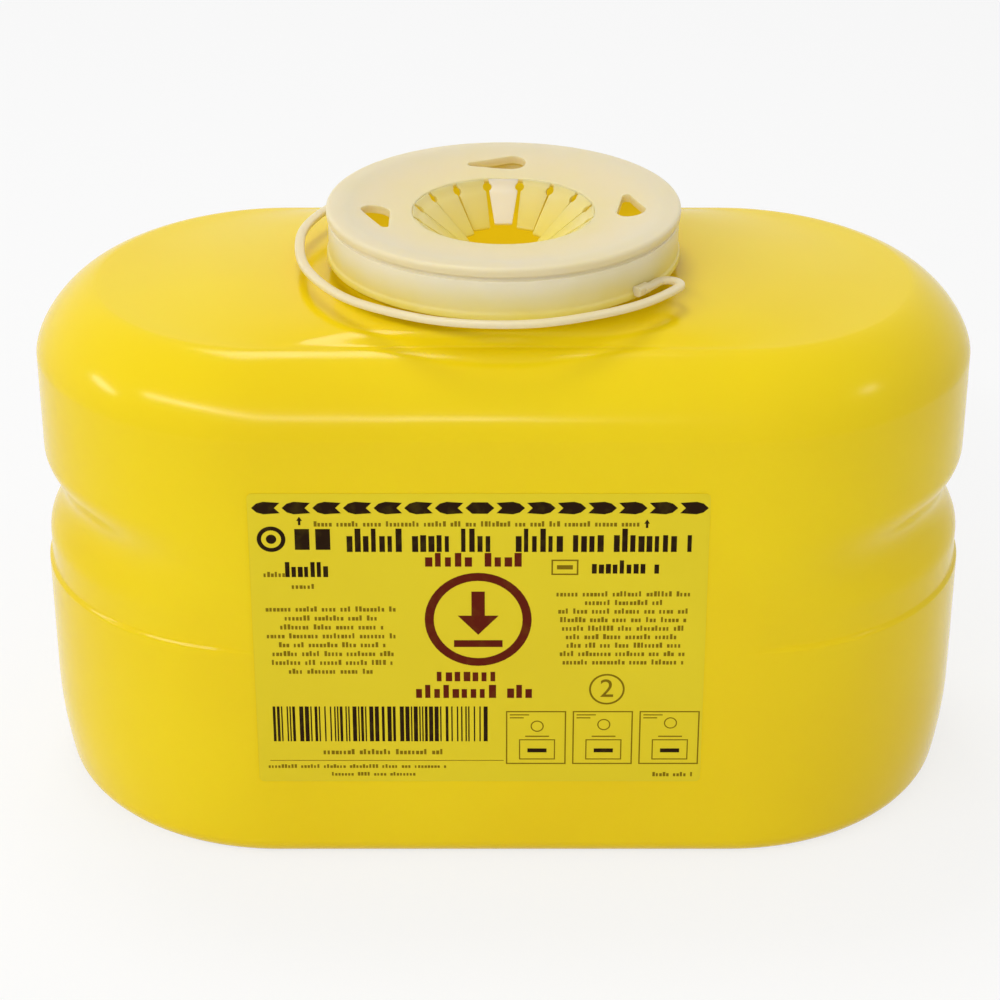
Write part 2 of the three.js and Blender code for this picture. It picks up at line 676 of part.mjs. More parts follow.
function frontLabel() {
  const film = roundedPlate(LABEL_WIDTH, LABEL_HEIGHT, LABEL_CORNER, LABEL_THICKNESS);
  const label = piece("front_label", geometryOf(solid(film)), print);
  label.rotation.x = Math.PI / 2;
  label.position.set(LABEL_CENTRE_X, -endRadius - SEAT_GAP, LABEL_BOTTOM + LABEL_HEIGHT / 2);
  return label;
}

const container = new THREE.Group();
container.add(containerBody(), frontLabel(), funnelCap(), ...funnelFingers());
container.add(tetherStrap(), tetherLink(), closureLid());

export default container;
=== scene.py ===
import math
import random

import bpy
import numpy as np
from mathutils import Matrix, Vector


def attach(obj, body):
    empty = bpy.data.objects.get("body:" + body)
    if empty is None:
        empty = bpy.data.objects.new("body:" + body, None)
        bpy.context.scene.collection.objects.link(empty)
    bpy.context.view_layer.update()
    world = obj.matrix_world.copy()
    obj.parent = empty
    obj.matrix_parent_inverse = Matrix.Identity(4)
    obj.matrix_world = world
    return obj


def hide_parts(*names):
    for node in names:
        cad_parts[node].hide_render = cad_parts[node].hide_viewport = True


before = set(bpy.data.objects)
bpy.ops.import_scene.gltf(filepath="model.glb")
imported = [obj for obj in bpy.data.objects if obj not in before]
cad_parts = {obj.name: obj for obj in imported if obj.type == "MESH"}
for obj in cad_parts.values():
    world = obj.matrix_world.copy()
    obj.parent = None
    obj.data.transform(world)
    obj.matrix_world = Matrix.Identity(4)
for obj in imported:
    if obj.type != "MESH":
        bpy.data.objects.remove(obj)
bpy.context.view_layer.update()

# All sizes are in millimetres and are turned to metres where a mesh is made.
# Camera and light
LENS = 98.0
CAMERA_TARGET = (-0.9, 0.0, 73.4)
CAMERA_DISTANCE = 750.0
CAMERA_AZIMUTH = 0.0
CAMERA_ELEVATION = 27.2

# Clearances between the pieces
SEAT_GAP = 0.3
SNAP_GAP = 0.4
LID_GAP = 0.9

# Body
BODY_WIDTH = 250.0
BODY_DEPTH = 130.0
BODY_WALL = 1.8
BASE_THICKNESS = 3.2
FOOT_RADIUS = 5.0
END_NECK_SPAN = 120.0
END_TAPER = 3.5
END_TAPER_HEIGHT = 28.0
GROOVE_INSET = 12.0
GROOVE_WIDTH = 8.0
GROOVE_DEPTH = 1.2
GROOVE_ROUND = 0.5
LEDGE_HEIGHT = 62.0
LEDGE_STEP = 0.9
LEDGE_RISE = 1.6
LEDGE_FULL_SWING = 76.0
LEDGE_END_SWING = 88.0
WAIST_HEIGHT = 83.5
WAIST_DEPTH = 4.4
WAIST_REACH = 13.0
WAIST_FULL_SWING = 35.0
WAIST_END_SWING = 87.0
SIDE_HEIGHT = 122.5
SHOULDER_RISE = 18.0
SHOULDER_FULLNESS = 1.5
CROWN_RISE = 3.5
CROWN_LEDGE = 3.0

# Neck
NECK_RADIUS = 42.4
NECK_WALL = 2.0
NECK_HEIGHT = 14.4
NECK_FILLET = 2.6
BEAD_OUT = 1.1
BEAD_HEIGHT = 3.0
BEAD_DROP = 6.5

# Funnel cap
DISC_OVERHANG = 0.5
DISC_THICKNESS = 2.2
DISC_EDGE = 2.4
DISH_DEPTH = 2.2
RIM_WIDTH = 4.5
TRACK_DEPTH = 1.0
TRACK_WIDTH = 1.2
SKIRT_WALL = 1.9
SKIRT_HEIGHT = 13.8
SKIRT_RIM = 0.5
SKIRT_RIM_HEIGHT = 1.6
SNAP_RIB = 0.9
PLUG_WALL = 1.2
PLUG_DEPTH = 5.0
PLUG_LEAD = 0.4
PLUG_LEAD_HEIGHT = 1.5
LIP_TOUCH = 0.04
EDGE_BREAK = 0.3
CUT_PAST = 2.0
KEYHOLE_ANGLES = (4.5, 95.5, 194.0)
KEYHOLE_WIDE_RADIUS = 3.8
KEYHOLE_NARROW_RADIUS = 1.1
KEYHOLE_LENGTH = 11.0

# Funnel fingers
FINGER_COUNT = 16
FUNNEL_RADIUS = 23.5
FUNNEL_DEPTH = 10.6
THROAT_WIDTH = 19.2
THROAT_LENGTH = 29.0
THROAT_SQUARENESS = 4
SLIT_WIDTH = 1.2
RELIEF_RADIUS = 1.25
RELIEF_INSET = 2.1
FINGER_THICKNESS = 1.3
HINGE_THICKNESS = 0.6
HINGE_LENGTH = 1.1
FINGER_TIP_ROUND = 0.4
FINGER_EDGE = 0.18
LIP_UNDERCUT = 1.6
PROUD_FINGER = 4
PROUD_LIFT = 4.0

# Tether
STRAP_CLEARANCE = 6.0
STRAP_WIDTH = 2.6
STRAP_THICKNESS = 1.8
STRAP_RISE = 2.2
STRAP_ROOT_ANGLE = -42.0
STRAP_BEND_ANGLE = -34.5
STRAP_END_ANGLE = -267.0
STRAP_FOOT_TURN = 2.6
STRAP_FOOT_HEIGHT = 2.5
FOLD_TAB_WIDTH = 10.0
FOLD_TAB_THICKNESS = 1.4
FOLD_AXIS_OUT = 3.4
KNUCKLE_RADIUS = 1.0
KNUCKLE_GAP = 0.05
LINK_DROP = 9.1

# Closure lid, given as it lies when closed
LID_PLATE = 1.5
LID_SEAT_GAP = 0.4
LID_SKIRT_WALL = 2.0
LID_SKIRT_DEPTH = 5.3
LID_ROUND = 0.98
LID_MIDDLE = 8.0
SEAL_FROM_LIP = 2.9
SEAL_WALL = 1.4
SEAL_CLEARANCE = 0.5
LIFT_TAB_WIDTH = 22.0
LIFT_TAB_LENGTH = 5.0
LIFT_TAB_CORNER = 3.0

# Label
LABEL_WIDTH = 115.5
LABEL_HEIGHT = 84.8
LABEL_CENTRE_X = -6.2
LABEL_BOTTOM = 23.8
FILM_THICKNESS = 0.06
LABEL_CORNER = 1.5
PRINT_LIFT = 0.03
PRINT_THICKNESS = 0.05

# Print. Places are right of the label's left edge and down from its top edge.
# Lines of bars have a left end, a base line, a width, a height and a pitch.
TOP_NOTES = ((16.5, 9.2, 82.0, 1.5, 0.95), (3.4, 23.6, 5.4, 1.5, 0.95), (10.4, 27.0, 6.0, 1.4, 1.0))
FOOT_NOTES = (
    (17.0, 76.4, 31.0, 1.6, 1.05), (2.5, 80.6, 47.0, 1.1, 0.85),
    (19.0, 83.0, 22.0, 1.1, 0.85), (103.0, 83.2, 10.5, 1.3, 0.9),
)
HEADINGS = (
    (24.6, 16.4, 36.0, 6.6, 2.05), (67.0, 16.4, 45.5, 6.6, 2.05),
    (8.9, 23.6, 13.5, 4.3, 1.6), (86.2, 22.6, 18.0, 3.8, 1.75),
)
TITLES = ((44.2, 20.6, 25.0, 3.9, 2.5), (46.8, 54.2, 19.5, 3.9, 2.3), (41.4, 59.2, 30.0, 3.9, 2.35))
# Paragraphs have a middle, a first base line, a pitch and the widths of their lines.
LEFT_TEXT = (20.3, 33.6, 2.62, (33.5, 24.0, 26.5, 33.5, 27.5, 31.0, 31.5, 23.0))
RIGHT_TEXT = (94.6, 29.2, 2.5, (34.5, 20.0, 33.5, 32.5, 31.5, 29.5, 29.0, 32.5, 31.0))
TEXT_HEIGHT = 1.5
TEXT_PITCH = 0.95
ARROW_PITCH = 7.63
ARROW_LEVEL = 4.0
ARROWS_EACH_WAY = 7
TARGET_PLACE = (5.7, 12.8)
SQUARES_LEFT = 11.6
SQUARES_TOP = 9.9
SQUARES_PITCH = 5.2
POINTER_PLACES = ((12.9, 7.6), (99.8, 8.4))
POINTER_SIZE = 1.2
PANEL_PLACE = (76.0, 18.6)
SIGN_PLACE = (57.5, 36.0)
SIGN_RADIUS = 13.6
SIGN_LINE = 2.3
STRIPES_LEFT = 4.2
STRIPES_RIGHT = 60.3
STRIPES_TOP = 61.8
STRIPES_HEIGHT = 10.6
BOX_LEFTS = (64.6, 81.9, 99.2)
BOX_TOP = 63.2
BOX_WIDTH = 15.6
BOX_HEIGHT = 16.2
NUMBER_PLACE = (90.6, 56.6)
NUMBER_HEIGHT = 7.6
NUMBER_RING = 4.6

# Levels and radii that follow
end_radius = BODY_DEPTH / 2
flat_half = (BODY_WIDTH - BODY_DEPTH) / 2
shoulder_top = SIDE_HEIGHT + SHOULDER_RISE
crown_top = shoulder_top + CROWN_RISE
neck_top = crown_top + NECK_HEIGHT
neck_root_radius = NECK_RADIUS + NECK_FILLET
shoulder_reach = end_radius - neck_root_radius - CROWN_LEDGE
neck_bore = NECK_RADIUS - NECK_WALL
bead_middle = neck_top - BEAD_DROP
disc_under = neck_top + SEAT_GAP
disc_top = disc_under + DISC_THICKNESS
skirt_inner = NECK_RADIUS + BEAD_OUT + SNAP_GAP
skirt_outer = skirt_inner + SKIRT_WALL
skirt_rim = skirt_outer + SKIRT_RIM
skirt_bottom = disc_top - SKIRT_HEIGHT
disc_radius = skirt_outer + DISC_OVERHANG
dish_edge = disc_radius - RIM_WIDTH
plug_outer = neck_bore - SNAP_GAP
plug_inner = plug_outer - PLUG_WALL
lip_top = disc_top - DISH_DEPTH
hinge_level = lip_top - HINGE_THICKNESS
lip_radius = FUNNEL_RADIUS + HINGE_THICKNESS / 2 + SEAT_GAP
keyhole_radius = (lip_radius + dish_edge) / 2
strap_level = skirt_bottom + STRAP_RISE
strap_radius = skirt_rim + STRAP_CLEARANCE + STRAP_WIDTH / 2
fold_y = strap_radius + FOLD_AXIS_OUT
seal_radius = lip_radius + SEAL_FROM_LIP
lid_inner = disc_radius + LID_GAP
lid_outer = lid_inner + LID_SKIRT_WALL
lid_under = disc_top + LID_SEAT_GAP
lid_top = lid_under + LID_PLATE
lid_reach = end_radius + SEAT_GAP - fold_y + lid_top - strap_level
link_out = (lid_reach ** 2 - LINK_DROP ** 2) / (2 * lid_reach)
link_length = lid_reach - link_out

# Heights between which the painted yellow of the natural plastic fades out.
# It stands in for the yellow body's light showing through the plastic.
FINGER_PAINTED_BODY_LIGHT = (147.0, 170.0)
TETHER_PAINTED_BODY_LIGHT = (90.0, 149.0)
skirt_painted_body_light = (skirt_bottom, skirt_bottom + 9.0)

# Steps of the fine surfaces
END_STEPS = 72
FLAT_STEPS = 30
TURN_STEPS = 192
CORNER_STEPS = 4


def colour(red, green, blue):
    """A colour as it looks on a screen, 0 to 255, as a shader's linear colour."""
    def linear(value):
        share = value / 255
        return share / 12.92 if share <= 0.04045 else ((share + 0.055) / 1.055) ** 2.4
    return (linear(red), linear(green), linear(blue), 1.0)


BODY_YELLOW = colour(240, 211, 14)
BODY_AMBER = colour(231, 195, 16)
# Colours of the inner wall, also used for its painted glow
INSIDE_GLOW_YELLOW = colour(240, 224, 44)
INSIDE_GLOW_AMBER = colour(234, 212, 36)
NATURAL = colour(224, 210, 173)
# A lighter copy of the natural colour, painted light for the finger that faces the light
NATURAL_PAINTED_LIT = colour(238, 225, 199)
# Lighter colour of the upright skirt wall, painted light
NATURAL_PAINTED_WALL_LIGHT = colour(241, 228, 196)
# Yellow painted where the body's light shows through the natural plastic
NATURAL_PAINTED_BODY_LIGHT = colour(229, 210, 90)
LABEL_YELLOW = colour(229, 207, 30)
LABEL_AMBER = colour(223, 198, 29)
INK_BLACK = colour(38, 20, 3)
INK_BROWN = colour(130, 106, 10)
INK_RED = colour(96, 27, 8)
WHITE = (1.0, 1.0, 1.0, 1.0)
AMBIENT = 0.55
FLOOR_GLOW = 0.75
FLOOR_GREY = (0.86, 0.86, 0.86, 1.0)
FLOOR_REACH = 3000.0
FLOOR_DROP = 0.1

# Lamps have a name, a place and a size in metres, and a power in watts.
LAMPS = (
    ("front_strip", (-0.60, -0.88, 0.90), 1.55, 0.04, 6.6),
    ("left_strip", (-1.39, 0.0, 0.60), 0.34, 0.04, 1.4),
    ("overhead", (-0.18, 0.42, 1.30), 0.42, 0.36, 4.2),
    ("right", (1.16, -0.30, 0.85), 0.14, 0.06, 0.6),
)
LAMP_AIM = (0.0, 0.0, 0.09)


def smoothstep(x, low, high):
    t = np.clip((x - low) / (high - low), 0, 1)
    return t * t * (3 - 2 * t)


# Meshes

def make_mesh(name, points, faces, sharp=32):
    """A smooth-shaded mesh from points in millimetres. Edges over the sharp angle stay crisp."""
    mesh = bpy.data.meshes.new(name)
    mesh.from_pydata([tuple(p) for p in np.asarray(points, float) / 1000], [], faces)
    mesh.validate()
    mesh.shade_smooth()
    mesh.set_sharp_from_angle(angle=math.radians(sharp))
    made = bpy.data.objects.new(name, mesh)
    bpy.context.scene.collection.objects.link(made)
    return made


def loft_faces(ring_count, width, closed):
    """Faces between rings of points in a row. A closed loft joins its last ring to its first."""
    faces = []
    for r in range(ring_count if closed else ring_count - 1):
        low = r * width
        high = ((r + 1) % ring_count) * width
        for i in range(width):
            j = (i + 1) % width
            faces.append((low + i, low + j, high + j, high + i))
    return faces


def loft(name, rings, sharp, closed=False):
    """A skin over rings with the same number of points. An open loft is closed by a fan at each end."""
    rings = np.asarray(rings, float)
    count, width = rings.shape[:2]
    points = rings.reshape(-1, 3)
    faces = loft_faces(count, width, closed)
    if not closed:
        first, last = len(points), len(points) + 1
        points = np.vstack([points, rings[0].mean(0), rings[-1].mean(0)])
        top = (count - 1) * width
        for i in range(width):
            j = (i + 1) % width
            faces.append((first, j, i))
            faces.append((last, top + i, top + j))
    return make_mesh(name, points, faces, sharp)


def rounded(corners, closed=True):
    """A profile whose (x, y, round) corners are turned into short curves."""
    out = []
    count = len(corners)
    for i, (x, y, reach) in enumerate(corners):
        here = np.array((x, y))
        if reach == 0 or (not closed and i in (0, count - 1)):
            out.append(here)
            continue
        before = np.array(corners[i - 1][:2])
        after = np.array(corners[(i + 1) % count][:2])
        ends = []
        for other in (before, after):
            span = np.linalg.norm(other - here)
            ends.append(here + (other - here) * min(reach / span, 0.48))
        for t in np.linspace(0, 1, CORNER_STEPS + 1):
            out.append((1 - t) ** 2 * ends[0] + 2 * t * (1 - t) * here + t ** 2 * ends[1])
    return np.array(out)


def turned(name, profile, closed=True):
    """A profile of (radius, height) points turned round the Z axis."""
    turn = np.linspace(0, 2 * math.pi, TURN_STEPS, endpoint=False)
    rings = [np.stack([r * np.cos(turn), r * np.sin(turn), np.full(TURN_STEPS, z)], 1) for r, z in profile]
    return loft(name, rings, 40, closed)


def prism(name, outline, low, high):
    """A straight prism over an outline in the XY plane."""
    outline = np.asarray(outline, float)
    count = len(outline)
    points = [(x, y, low) for x, y in outline] + [(x, y, high) for x, y in outline]
    faces = [tuple(range(count))[::-1], tuple(range(count, 2 * count))]
    faces += [(i, (i + 1) % count, count + (i + 1) % count, count + i) for i in range(count)]
    return make_mesh(name, points, faces)


def settle(obj):
    """Works an object's modifiers into its mesh."""
    graph = bpy.context.evaluated_depsgraph_get()
    mesh = bpy.data.meshes.new_from_object(obj.evaluated_get(graph))
    obj.modifiers.clear()
    obj.data = mesh
    return obj


def combine(obj, other, operation):
    """Joins another object to this one, or cuts it out, and removes it."""
    step = obj.modifiers.new("combine", "BOOLEAN")
    step.operation = operation
    step.solver = "EXACT"
    step.object = other
    settle(obj)
    bpy.data.objects.remove(other)
    return obj


def soften(obj, width, angle):
    """Bevels the edges that turn by more than an angle."""
    step = obj.modifiers.new("bevel", "BEVEL")
    step.width = width / 1000
    step.segments = 2
    step.limit_method = "ANGLE"
    step.angle_limit = math.radians(angle)
    step.miter_outer = "MITER_ARC"
    return settle(obj)


def finish_shading(obj, sharp):
    obj.data.shade_smooth()
    obj.data.set_sharp_from_angle(angle=math.radians(sharp))


def dress(obj, material, body, slot, *nodes):
    """Gives a piece its material and body, and hides the CAD nodes that it stands for. The slot is not
    used.
    """
    obj.data.materials.clear()
    obj.data.materials.append(material)
    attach(obj, body)
    if nodes:
        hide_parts(*nodes)
    return obj


# Materials

def new_material(name, base, roughness):
    material = bpy.data.materials.new(name)
    material.use_nodes = True
    nodes = material.node_tree.nodes
    shader = nodes["Principled BSDF"]
    shader.inputs["Base Color"].default_value = base
    shader.inputs["Roughness"].default_value = roughness
    return material, nodes, material.node_tree.links, shader


def noise(nodes, links, scale, detail, coordinate=None):
    """A noise pattern on the object's own coordinates, so that it stays on the surface."""
    if coordinate is None:
        coordinate = nodes.new("ShaderNodeTexCoord").outputs["Object"]
    pattern = nodes.new("ShaderNodeTexNoise")
    pattern.inputs["Scale"].default_value = scale
    pattern.inputs["Detail"].default_value = detail
    links.new(coordinate, pattern.inputs["Vector"])
    return pattern.outputs["Fac"]


def ranged(nodes, links, value, low, high, to_low, to_high):
    """A value carried from one range to another and kept inside it."""
    node = nodes.new("ShaderNodeMapRange")
    node.inputs["From Min"].default_value = low
    node.inputs["From Max"].default_value = high
    node.inputs["To Min"].default_value = to_low
    node.inputs["To Max"].default_value = to_high
    links.new(value, node.inputs["Value"])
    return node.outputs["Result"]


def mixed(nodes, links, share, first, second):
    """Two colours mixed by a share. Either can be a fixed colour or an output."""
    node = nodes.new("ShaderNodeMix")
    node.data_type = "RGBA"
    links.new(share, node.inputs["Factor"])
    for place, value in ((6, first), (7, second)):
        if isinstance(value, tuple):
            node.inputs[place].default_value = value
        else:
            links.new(value, node.inputs[place])
    return node.outputs[2]


def bumps(nodes, links, shader, *layers):
    """Bump layers, coarsest first: each a height output, a strength and a distance in millimetres."""
    normal = None
    for height, strength, distance in layers:
        node = nodes.new("ShaderNodeBump")
        node.inputs["Strength"].default_value = strength
        node.inputs["Distance"].default_value = distance / 1000
        links.new(height, node.inputs["Height"])
        if normal is not None:
            links.new(normal, node.inputs["Normal"])
        normal = node.outputs["Normal"]
    links.new(normal, shader.inputs["Normal"])


def yellow_plastic():
    """Blow-moulded polyethylene: a satin yellow with faint cloudiness, soft waves and a fine pebble."""
    material, nodes, links, shader = new_material("yellow_polyethylene", BODY_YELLOW, 0.3)
    cloud = ranged(nodes, links, noise(nodes, links, 14, 2), 0.38, 0.68, 0.0, 0.35)
    links.new(mixed(nodes, links, cloud, BODY_YELLOW, BODY_AMBER), shader.inputs["Base Color"])
    rough = ranged(nodes, links, noise(nodes, links, 45, 4), 0.3, 0.7, 0.14, 0.2)
    links.new(rough, shader.inputs["Roughness"])
    waves = noise(nodes, links, 30, 1)
    pebble = noise(nodes, links, 420, 1)
    bumps(nodes, links, shader, (waves, 0.3, 0.9), (pebble, 0.1, 0.06))
    shader.inputs["Subsurface Weight"].default_value = 0.12
    shader.inputs["Subsurface Radius"].default_value = (1.0, 0.65, 0.08)
    shader.inputs["Subsurface Scale"].default_value = 0.004
    shader.inputs["Specular IOR Level"].default_value = 0.16
    return material


def painted_glow_inside():
    """The inner wall, with a painted glow: an emission that stands in for the light coming through the
    yellow shell.
    """
    material, nodes, links, shader = new_material("yellow_polyethylene_inside_painted_glow", INSIDE_GLOW_AMBER, 0.45)
    cloud = ranged(nodes, links, noise(nodes, links, 22, 2), 0.35, 0.7, 0.0, 0.6)
    tone = mixed(nodes, links, cloud, INSIDE_GLOW_YELLOW, INSIDE_GLOW_AMBER)
    links.new(tone, shader.inputs["Base Color"])
    links.new(tone, shader.inputs["Emission Color"])
    shader.inputs["Emission Strength"].default_value = 0.21
    shader.inputs["Specular IOR Level"].default_value = 0.2
    bumps(nodes, links, shader, (noise(nodes, links, 60, 3), 0.3, 0.6))
    return material


def natural_plastic(name, painted_body_light_heights, painted_body_light, clear=NATURAL, painted_light_top=0.0, middle_painted_body_light=0.0):
    """Natural polypropylene: milky and see-through. A painted yellow, stronger low down,
    stands in for the yellow body's light showing through it. Below the given top of an upright wall
    its colour is painted lighter, as painted light. A disc can get more painted yellow in its middle."""
    material, nodes, links, shader = new_material(name, clear, 0.33)
    place = nodes.new("ShaderNodeTexCoord").outputs["Object"]
    split = nodes.new("ShaderNodeSeparateXYZ")
    links.new(place, split.inputs["Vector"])
    # Share of painted yellow by height, for the body's light showing through
    low, high = painted_body_light_heights
    height = ranged(nodes, links, split.outputs["Z"], low / 1000, high / 1000, painted_body_light, 0.0)
    uneven = ranged(nodes, links, noise(nodes, links, 70, 2, place), 0.3, 0.7, -0.07, 0.1)
    level = nodes.new("ShaderNodeVectorMath")
    level.operation = "MULTIPLY"
    level.inputs[1].default_value = (1.0, 1.0, 0.0)
    links.new(place, level.inputs[0])
    radius = nodes.new("ShaderNodeVectorMath")
    radius.operation = "LENGTH"
    links.new(level.outputs["Vector"], radius.inputs[0])
    # More painted yellow towards a disc's middle, for the body's light showing through it
    middle = ranged(nodes, links, radius.outputs["Value"], lip_radius / 1000, plug_outer / 1000,
                    middle_painted_body_light, 0.0)
    share = height
    for part in (uneven, middle):
        total = nodes.new("ShaderNodeMath")
        total.operation = "ADD"
        total.use_clamp = True
        links.new(share, total.inputs[0])
        links.new(part, total.inputs[1])
        share = total.outputs[0]
    # Painted light: below the wall's top the colour is painted lighter, for light passing through the
    # upright wall
    wall = ranged(nodes, links, split.outputs["Z"], (painted_light_top - 1.0) / 1000, painted_light_top / 1000, 1.0, 0.0)
    tone = mixed(nodes, links, wall, clear, NATURAL_PAINTED_WALL_LIGHT)
    links.new(mixed(nodes, links, share, tone, NATURAL_PAINTED_BODY_LIGHT), shader.inputs["Base Color"])
    rough = ranged(nodes, links, noise(nodes, links, 45, 1, place), 0.3, 0.7, 0.28, 0.36)
    links.new(rough, shader.inputs["Roughness"])
    bumps(nodes, links, shader, (noise(nodes, links, 60, 1, place), 0.25, 0.25))
    shader.inputs["Subsurface Weight"].default_value = 0.6
    shader.inputs["Subsurface Radius"].default_value = (1.0, 0.9, 0.55)
    shader.inputs["Subsurface Scale"].default_value = 0.004
    shader.inputs["Specular IOR Level"].default_value = 0.35
    return material


def label_film():
    """The moulded-in film: smoother than the wall and a little greener."""
    material, nodes, links, shader = new_material("label_film", LABEL_YELLOW, 0.3)
    cloud = ranged(nodes, links, noise(nodes, links, 25, 2), 0.35, 0.7, 0.0, 0.4)
    links.new(mixed(nodes, links, cloud, LABEL_YELLOW, LABEL_AMBER), shader.inputs["Base Color"])
    shader.inputs["Specular IOR Level"].default_value = 0.2
    bumps(nodes, links, shader, (noise(nodes, links, 30, 1), 0.3, 0.9))
    return material


def ink(name, tone):
    """Printed ink: nearly matt, and a little thin here and there."""
    material, nodes, links, shader = new_material(name, tone, 0.42)
    thin = ranged(nodes, links, noise(nodes, links, 260, 3), 0.5, 0.85, 0.0, 0.05)
    links.new(mixed(nodes, links, thin, tone, LABEL_YELLOW), shader.inputs["Base Color"])
    shader.inputs["Specular IOR Level"].default_value = 0.06
    return material


# Body

def outline_stations():
    """Side, swing round the end, place along the flat and angle on the neck, of each station."""
    swings = np.linspace(-90, 90, END_STEPS, endpoint=False)
    shares = np.linspace(0, 1, FLAT_STEPS, endpoint=False)
    flat_neck_span = 180 - END_NECK_SPAN
    rows = []
    for side in (1, -1):
        rows += [(side, swing, 1.0, swing * END_NECK_SPAN / 180) for swing in swings]
        rows += [(side, 90.0, 1 - 2 * t, END_NECK_SPAN / 2 + flat_neck_span * t) for t in shares]
    return np.array(rows).T


SIDE, SWING, ALONG, NECK_ANGLE = outline_stations()
SWING_RADIANS = np.radians(SWING)


def end_inset(z):
    foot = max(0.0, 1 - z / END_TAPER_HEIGHT)
    taper = END_TAPER * foot * foot * np.cos(SWING_RADIANS) ** 2
    ledge = LEDGE_STEP * smoothstep(z, LEDGE_HEIGHT, LEDGE_HEIGHT + LEDGE_RISE)
    local = LEDGE_STEP - LEDGE_STEP * smoothstep(z, LEDGE_HEIGHT + LEDGE_RISE, WAIST_HEIGHT)
    rise = np.clip((z - WAIST_HEIGHT) / WAIST_REACH, -1, 1)
    waist = WAIST_DEPTH * math.cos(rise * math.pi / 2) ** 2
    fade = 1 - smoothstep(np.abs(SWING), WAIST_FULL_SWING, WAIST_END_SWING)
    reach = 1 - smoothstep(np.abs(SWING), LEDGE_FULL_SWING, LEDGE_END_SWING)
    along_ledge = ledge * fade + np.minimum(ledge, local) * (reach - fade)
    return taper + along_ledge + waist * fade


def body_ring(z, inset, shape_at=None, turn_round=0.0, radius=0.0):
    """One ring of the body. It turns from the oval to a circle as turn_round goes from 0 to 1."""
    reach = end_radius - inset - end_inset(z if shape_at is None else shape_at)
    neck = np.radians(NECK_ANGLE)
    x = flat_half * ALONG + reach * np.cos(SWING_RADIANS)
    y = reach * np.sin(SWING_RADIANS)
    x = x * (1 - turn_round) + radius * np.cos(neck) * turn_round
    y = y * (1 - turn_round) + radius * np.sin(neck) * turn_round
    return np.stack([x * SIDE, y * SIDE, np.full(len(SIDE), z)], 1)


def circle_ring(radius, z):
    return body_ring(z, 0.0, turn_round=1.0, radius=radius)


def shoulder_rings(wall, count):
    rings = []
    power = 2 / SHOULDER_FULLNESS
    for t in np.linspace(0, 1, count):
        turn = t * math.pi / 2
        inset = shoulder_reach * (1 - max(0.0, math.cos(turn)) ** power)
        z = SIDE_HEIGHT + SHOULDER_RISE * math.sin(turn) ** power
        rings.append(body_ring(z - wall * t, inset + wall, SIDE_HEIGHT))
    return rings


def crown_rings(wall, radius, count):
    rings = []
    for t in np.linspace(0, 1, count)[1:]:
        z = shoulder_top + CROWN_RISE * t * t * (3 - 2 * t)
        rings.append(body_ring(z - wall, shoulder_reach + wall, SIDE_HEIGHT, t, radius))
    return rings


def body_outside():
    """The rings from the groove in the underside up to the rim of the neck."""
    groove_end = GROOVE_INSET + GROOVE_WIDTH
    groove = rounded([
        (groove_end + GROOVE_DEPTH, 0, GROOVE_ROUND), (groove_end, GROOVE_DEPTH, GROOVE_ROUND),
        (GROOVE_INSET, GROOVE_DEPTH, GROOVE_ROUND), (GROOVE_INSET - GROOVE_DEPTH, 0, GROOVE_ROUND),
        (FOOT_RADIUS, 0, 0),
    ], closed=False)
    rings = [body_ring(z, inset, 0.0) for inset, z in groove]
    for turn in np.linspace(0, math.pi / 2, 9)[1:]:
        rings.append(body_ring(FOOT_RADIUS * (1 - math.cos(turn)), FOOT_RADIUS * (1 - math.sin(turn))))
    ledge = np.linspace(LEDGE_HEIGHT - 0.4, LEDGE_HEIGHT + LEDGE_RISE + 0.4, 17)
    heights = np.linspace(FOOT_RADIUS, SIDE_HEIGHT, 120)[1:-1]
    heights = [z for z in heights if z < ledge[0] or z > ledge[-1]]
    rings += [body_ring(z, 0.0) for z in sorted([*heights, *ledge])]
    rings += shoulder_rings(0.0, 30)
    rings += crown_rings(0.0, neck_root_radius, 14)
    for turn in np.linspace(0, math.pi / 2, 7)[1:]:
        radius = neck_root_radius - NECK_FILLET * math.sin(turn)
        rings.append(circle_ring(radius, crown_top + NECK_FILLET * (1 - math.cos(turn))))
    for t in np.linspace(0, 1, 11):
        radius = NECK_RADIUS + BEAD_OUT * math.sin(t * math.pi)
        rings.append(circle_ring(radius, bead_middle + BEAD_HEIGHT * (t - 0.5)))
    rim = rounded([
        (NECK_RADIUS, neck_top - NECK_WALL, 0), (NECK_RADIUS, neck_top, NECK_WALL / 3),
        (neck_bore, neck_top, NECK_WALL / 3), (neck_bore, neck_top - NECK_WALL, 0),
    ], closed=False)
    return rings + [circle_ring(r, z) for r, z in rim[1:]]


def body_inside():
    """The rings from the neck's bore down to the inside of the base."""
    rings = [circle_ring(neck_bore, crown_top - BODY_WALL)]
    rings += crown_rings(BODY_WALL, neck_bore + BODY_WALL, 8)[:-1][::-1]
    rings += shoulder_rings(BODY_WALL, 14)[::-1]
    heights = np.linspace(SIDE_HEIGHT, BASE_THICKNESS + FOOT_RADIUS, 60)[1:]
    rings += [body_ring(z, BODY_WALL) for z in heights]
    for turn in np.linspace(0, math.pi / 2, 6)[1:]:
        z = BASE_THICKNESS + FOOT_RADIUS * (1 - math.sin(turn))
        rings.append(body_ring(z, BODY_WALL + FOOT_RADIUS * (1 - math.cos(turn))))
    return rings


def container_body():
    outside = body_outside()
    inside = body_inside()
    body = loft("body_shell", outside + inside, sharp=60)
    dress(body, yellow_plastic(), "container", "yellow_body", "container_body")
    # The inner faces get the second material, with its painted glow.
    body.data.materials.append(painted_glow_inside())
    first_inside = (len(outside) - 1) * len(SIDE)
    for face in body.data.polygons:
        if min(face.vertices) >= first_inside:
            face.material_index = 1
    return body


# Cap

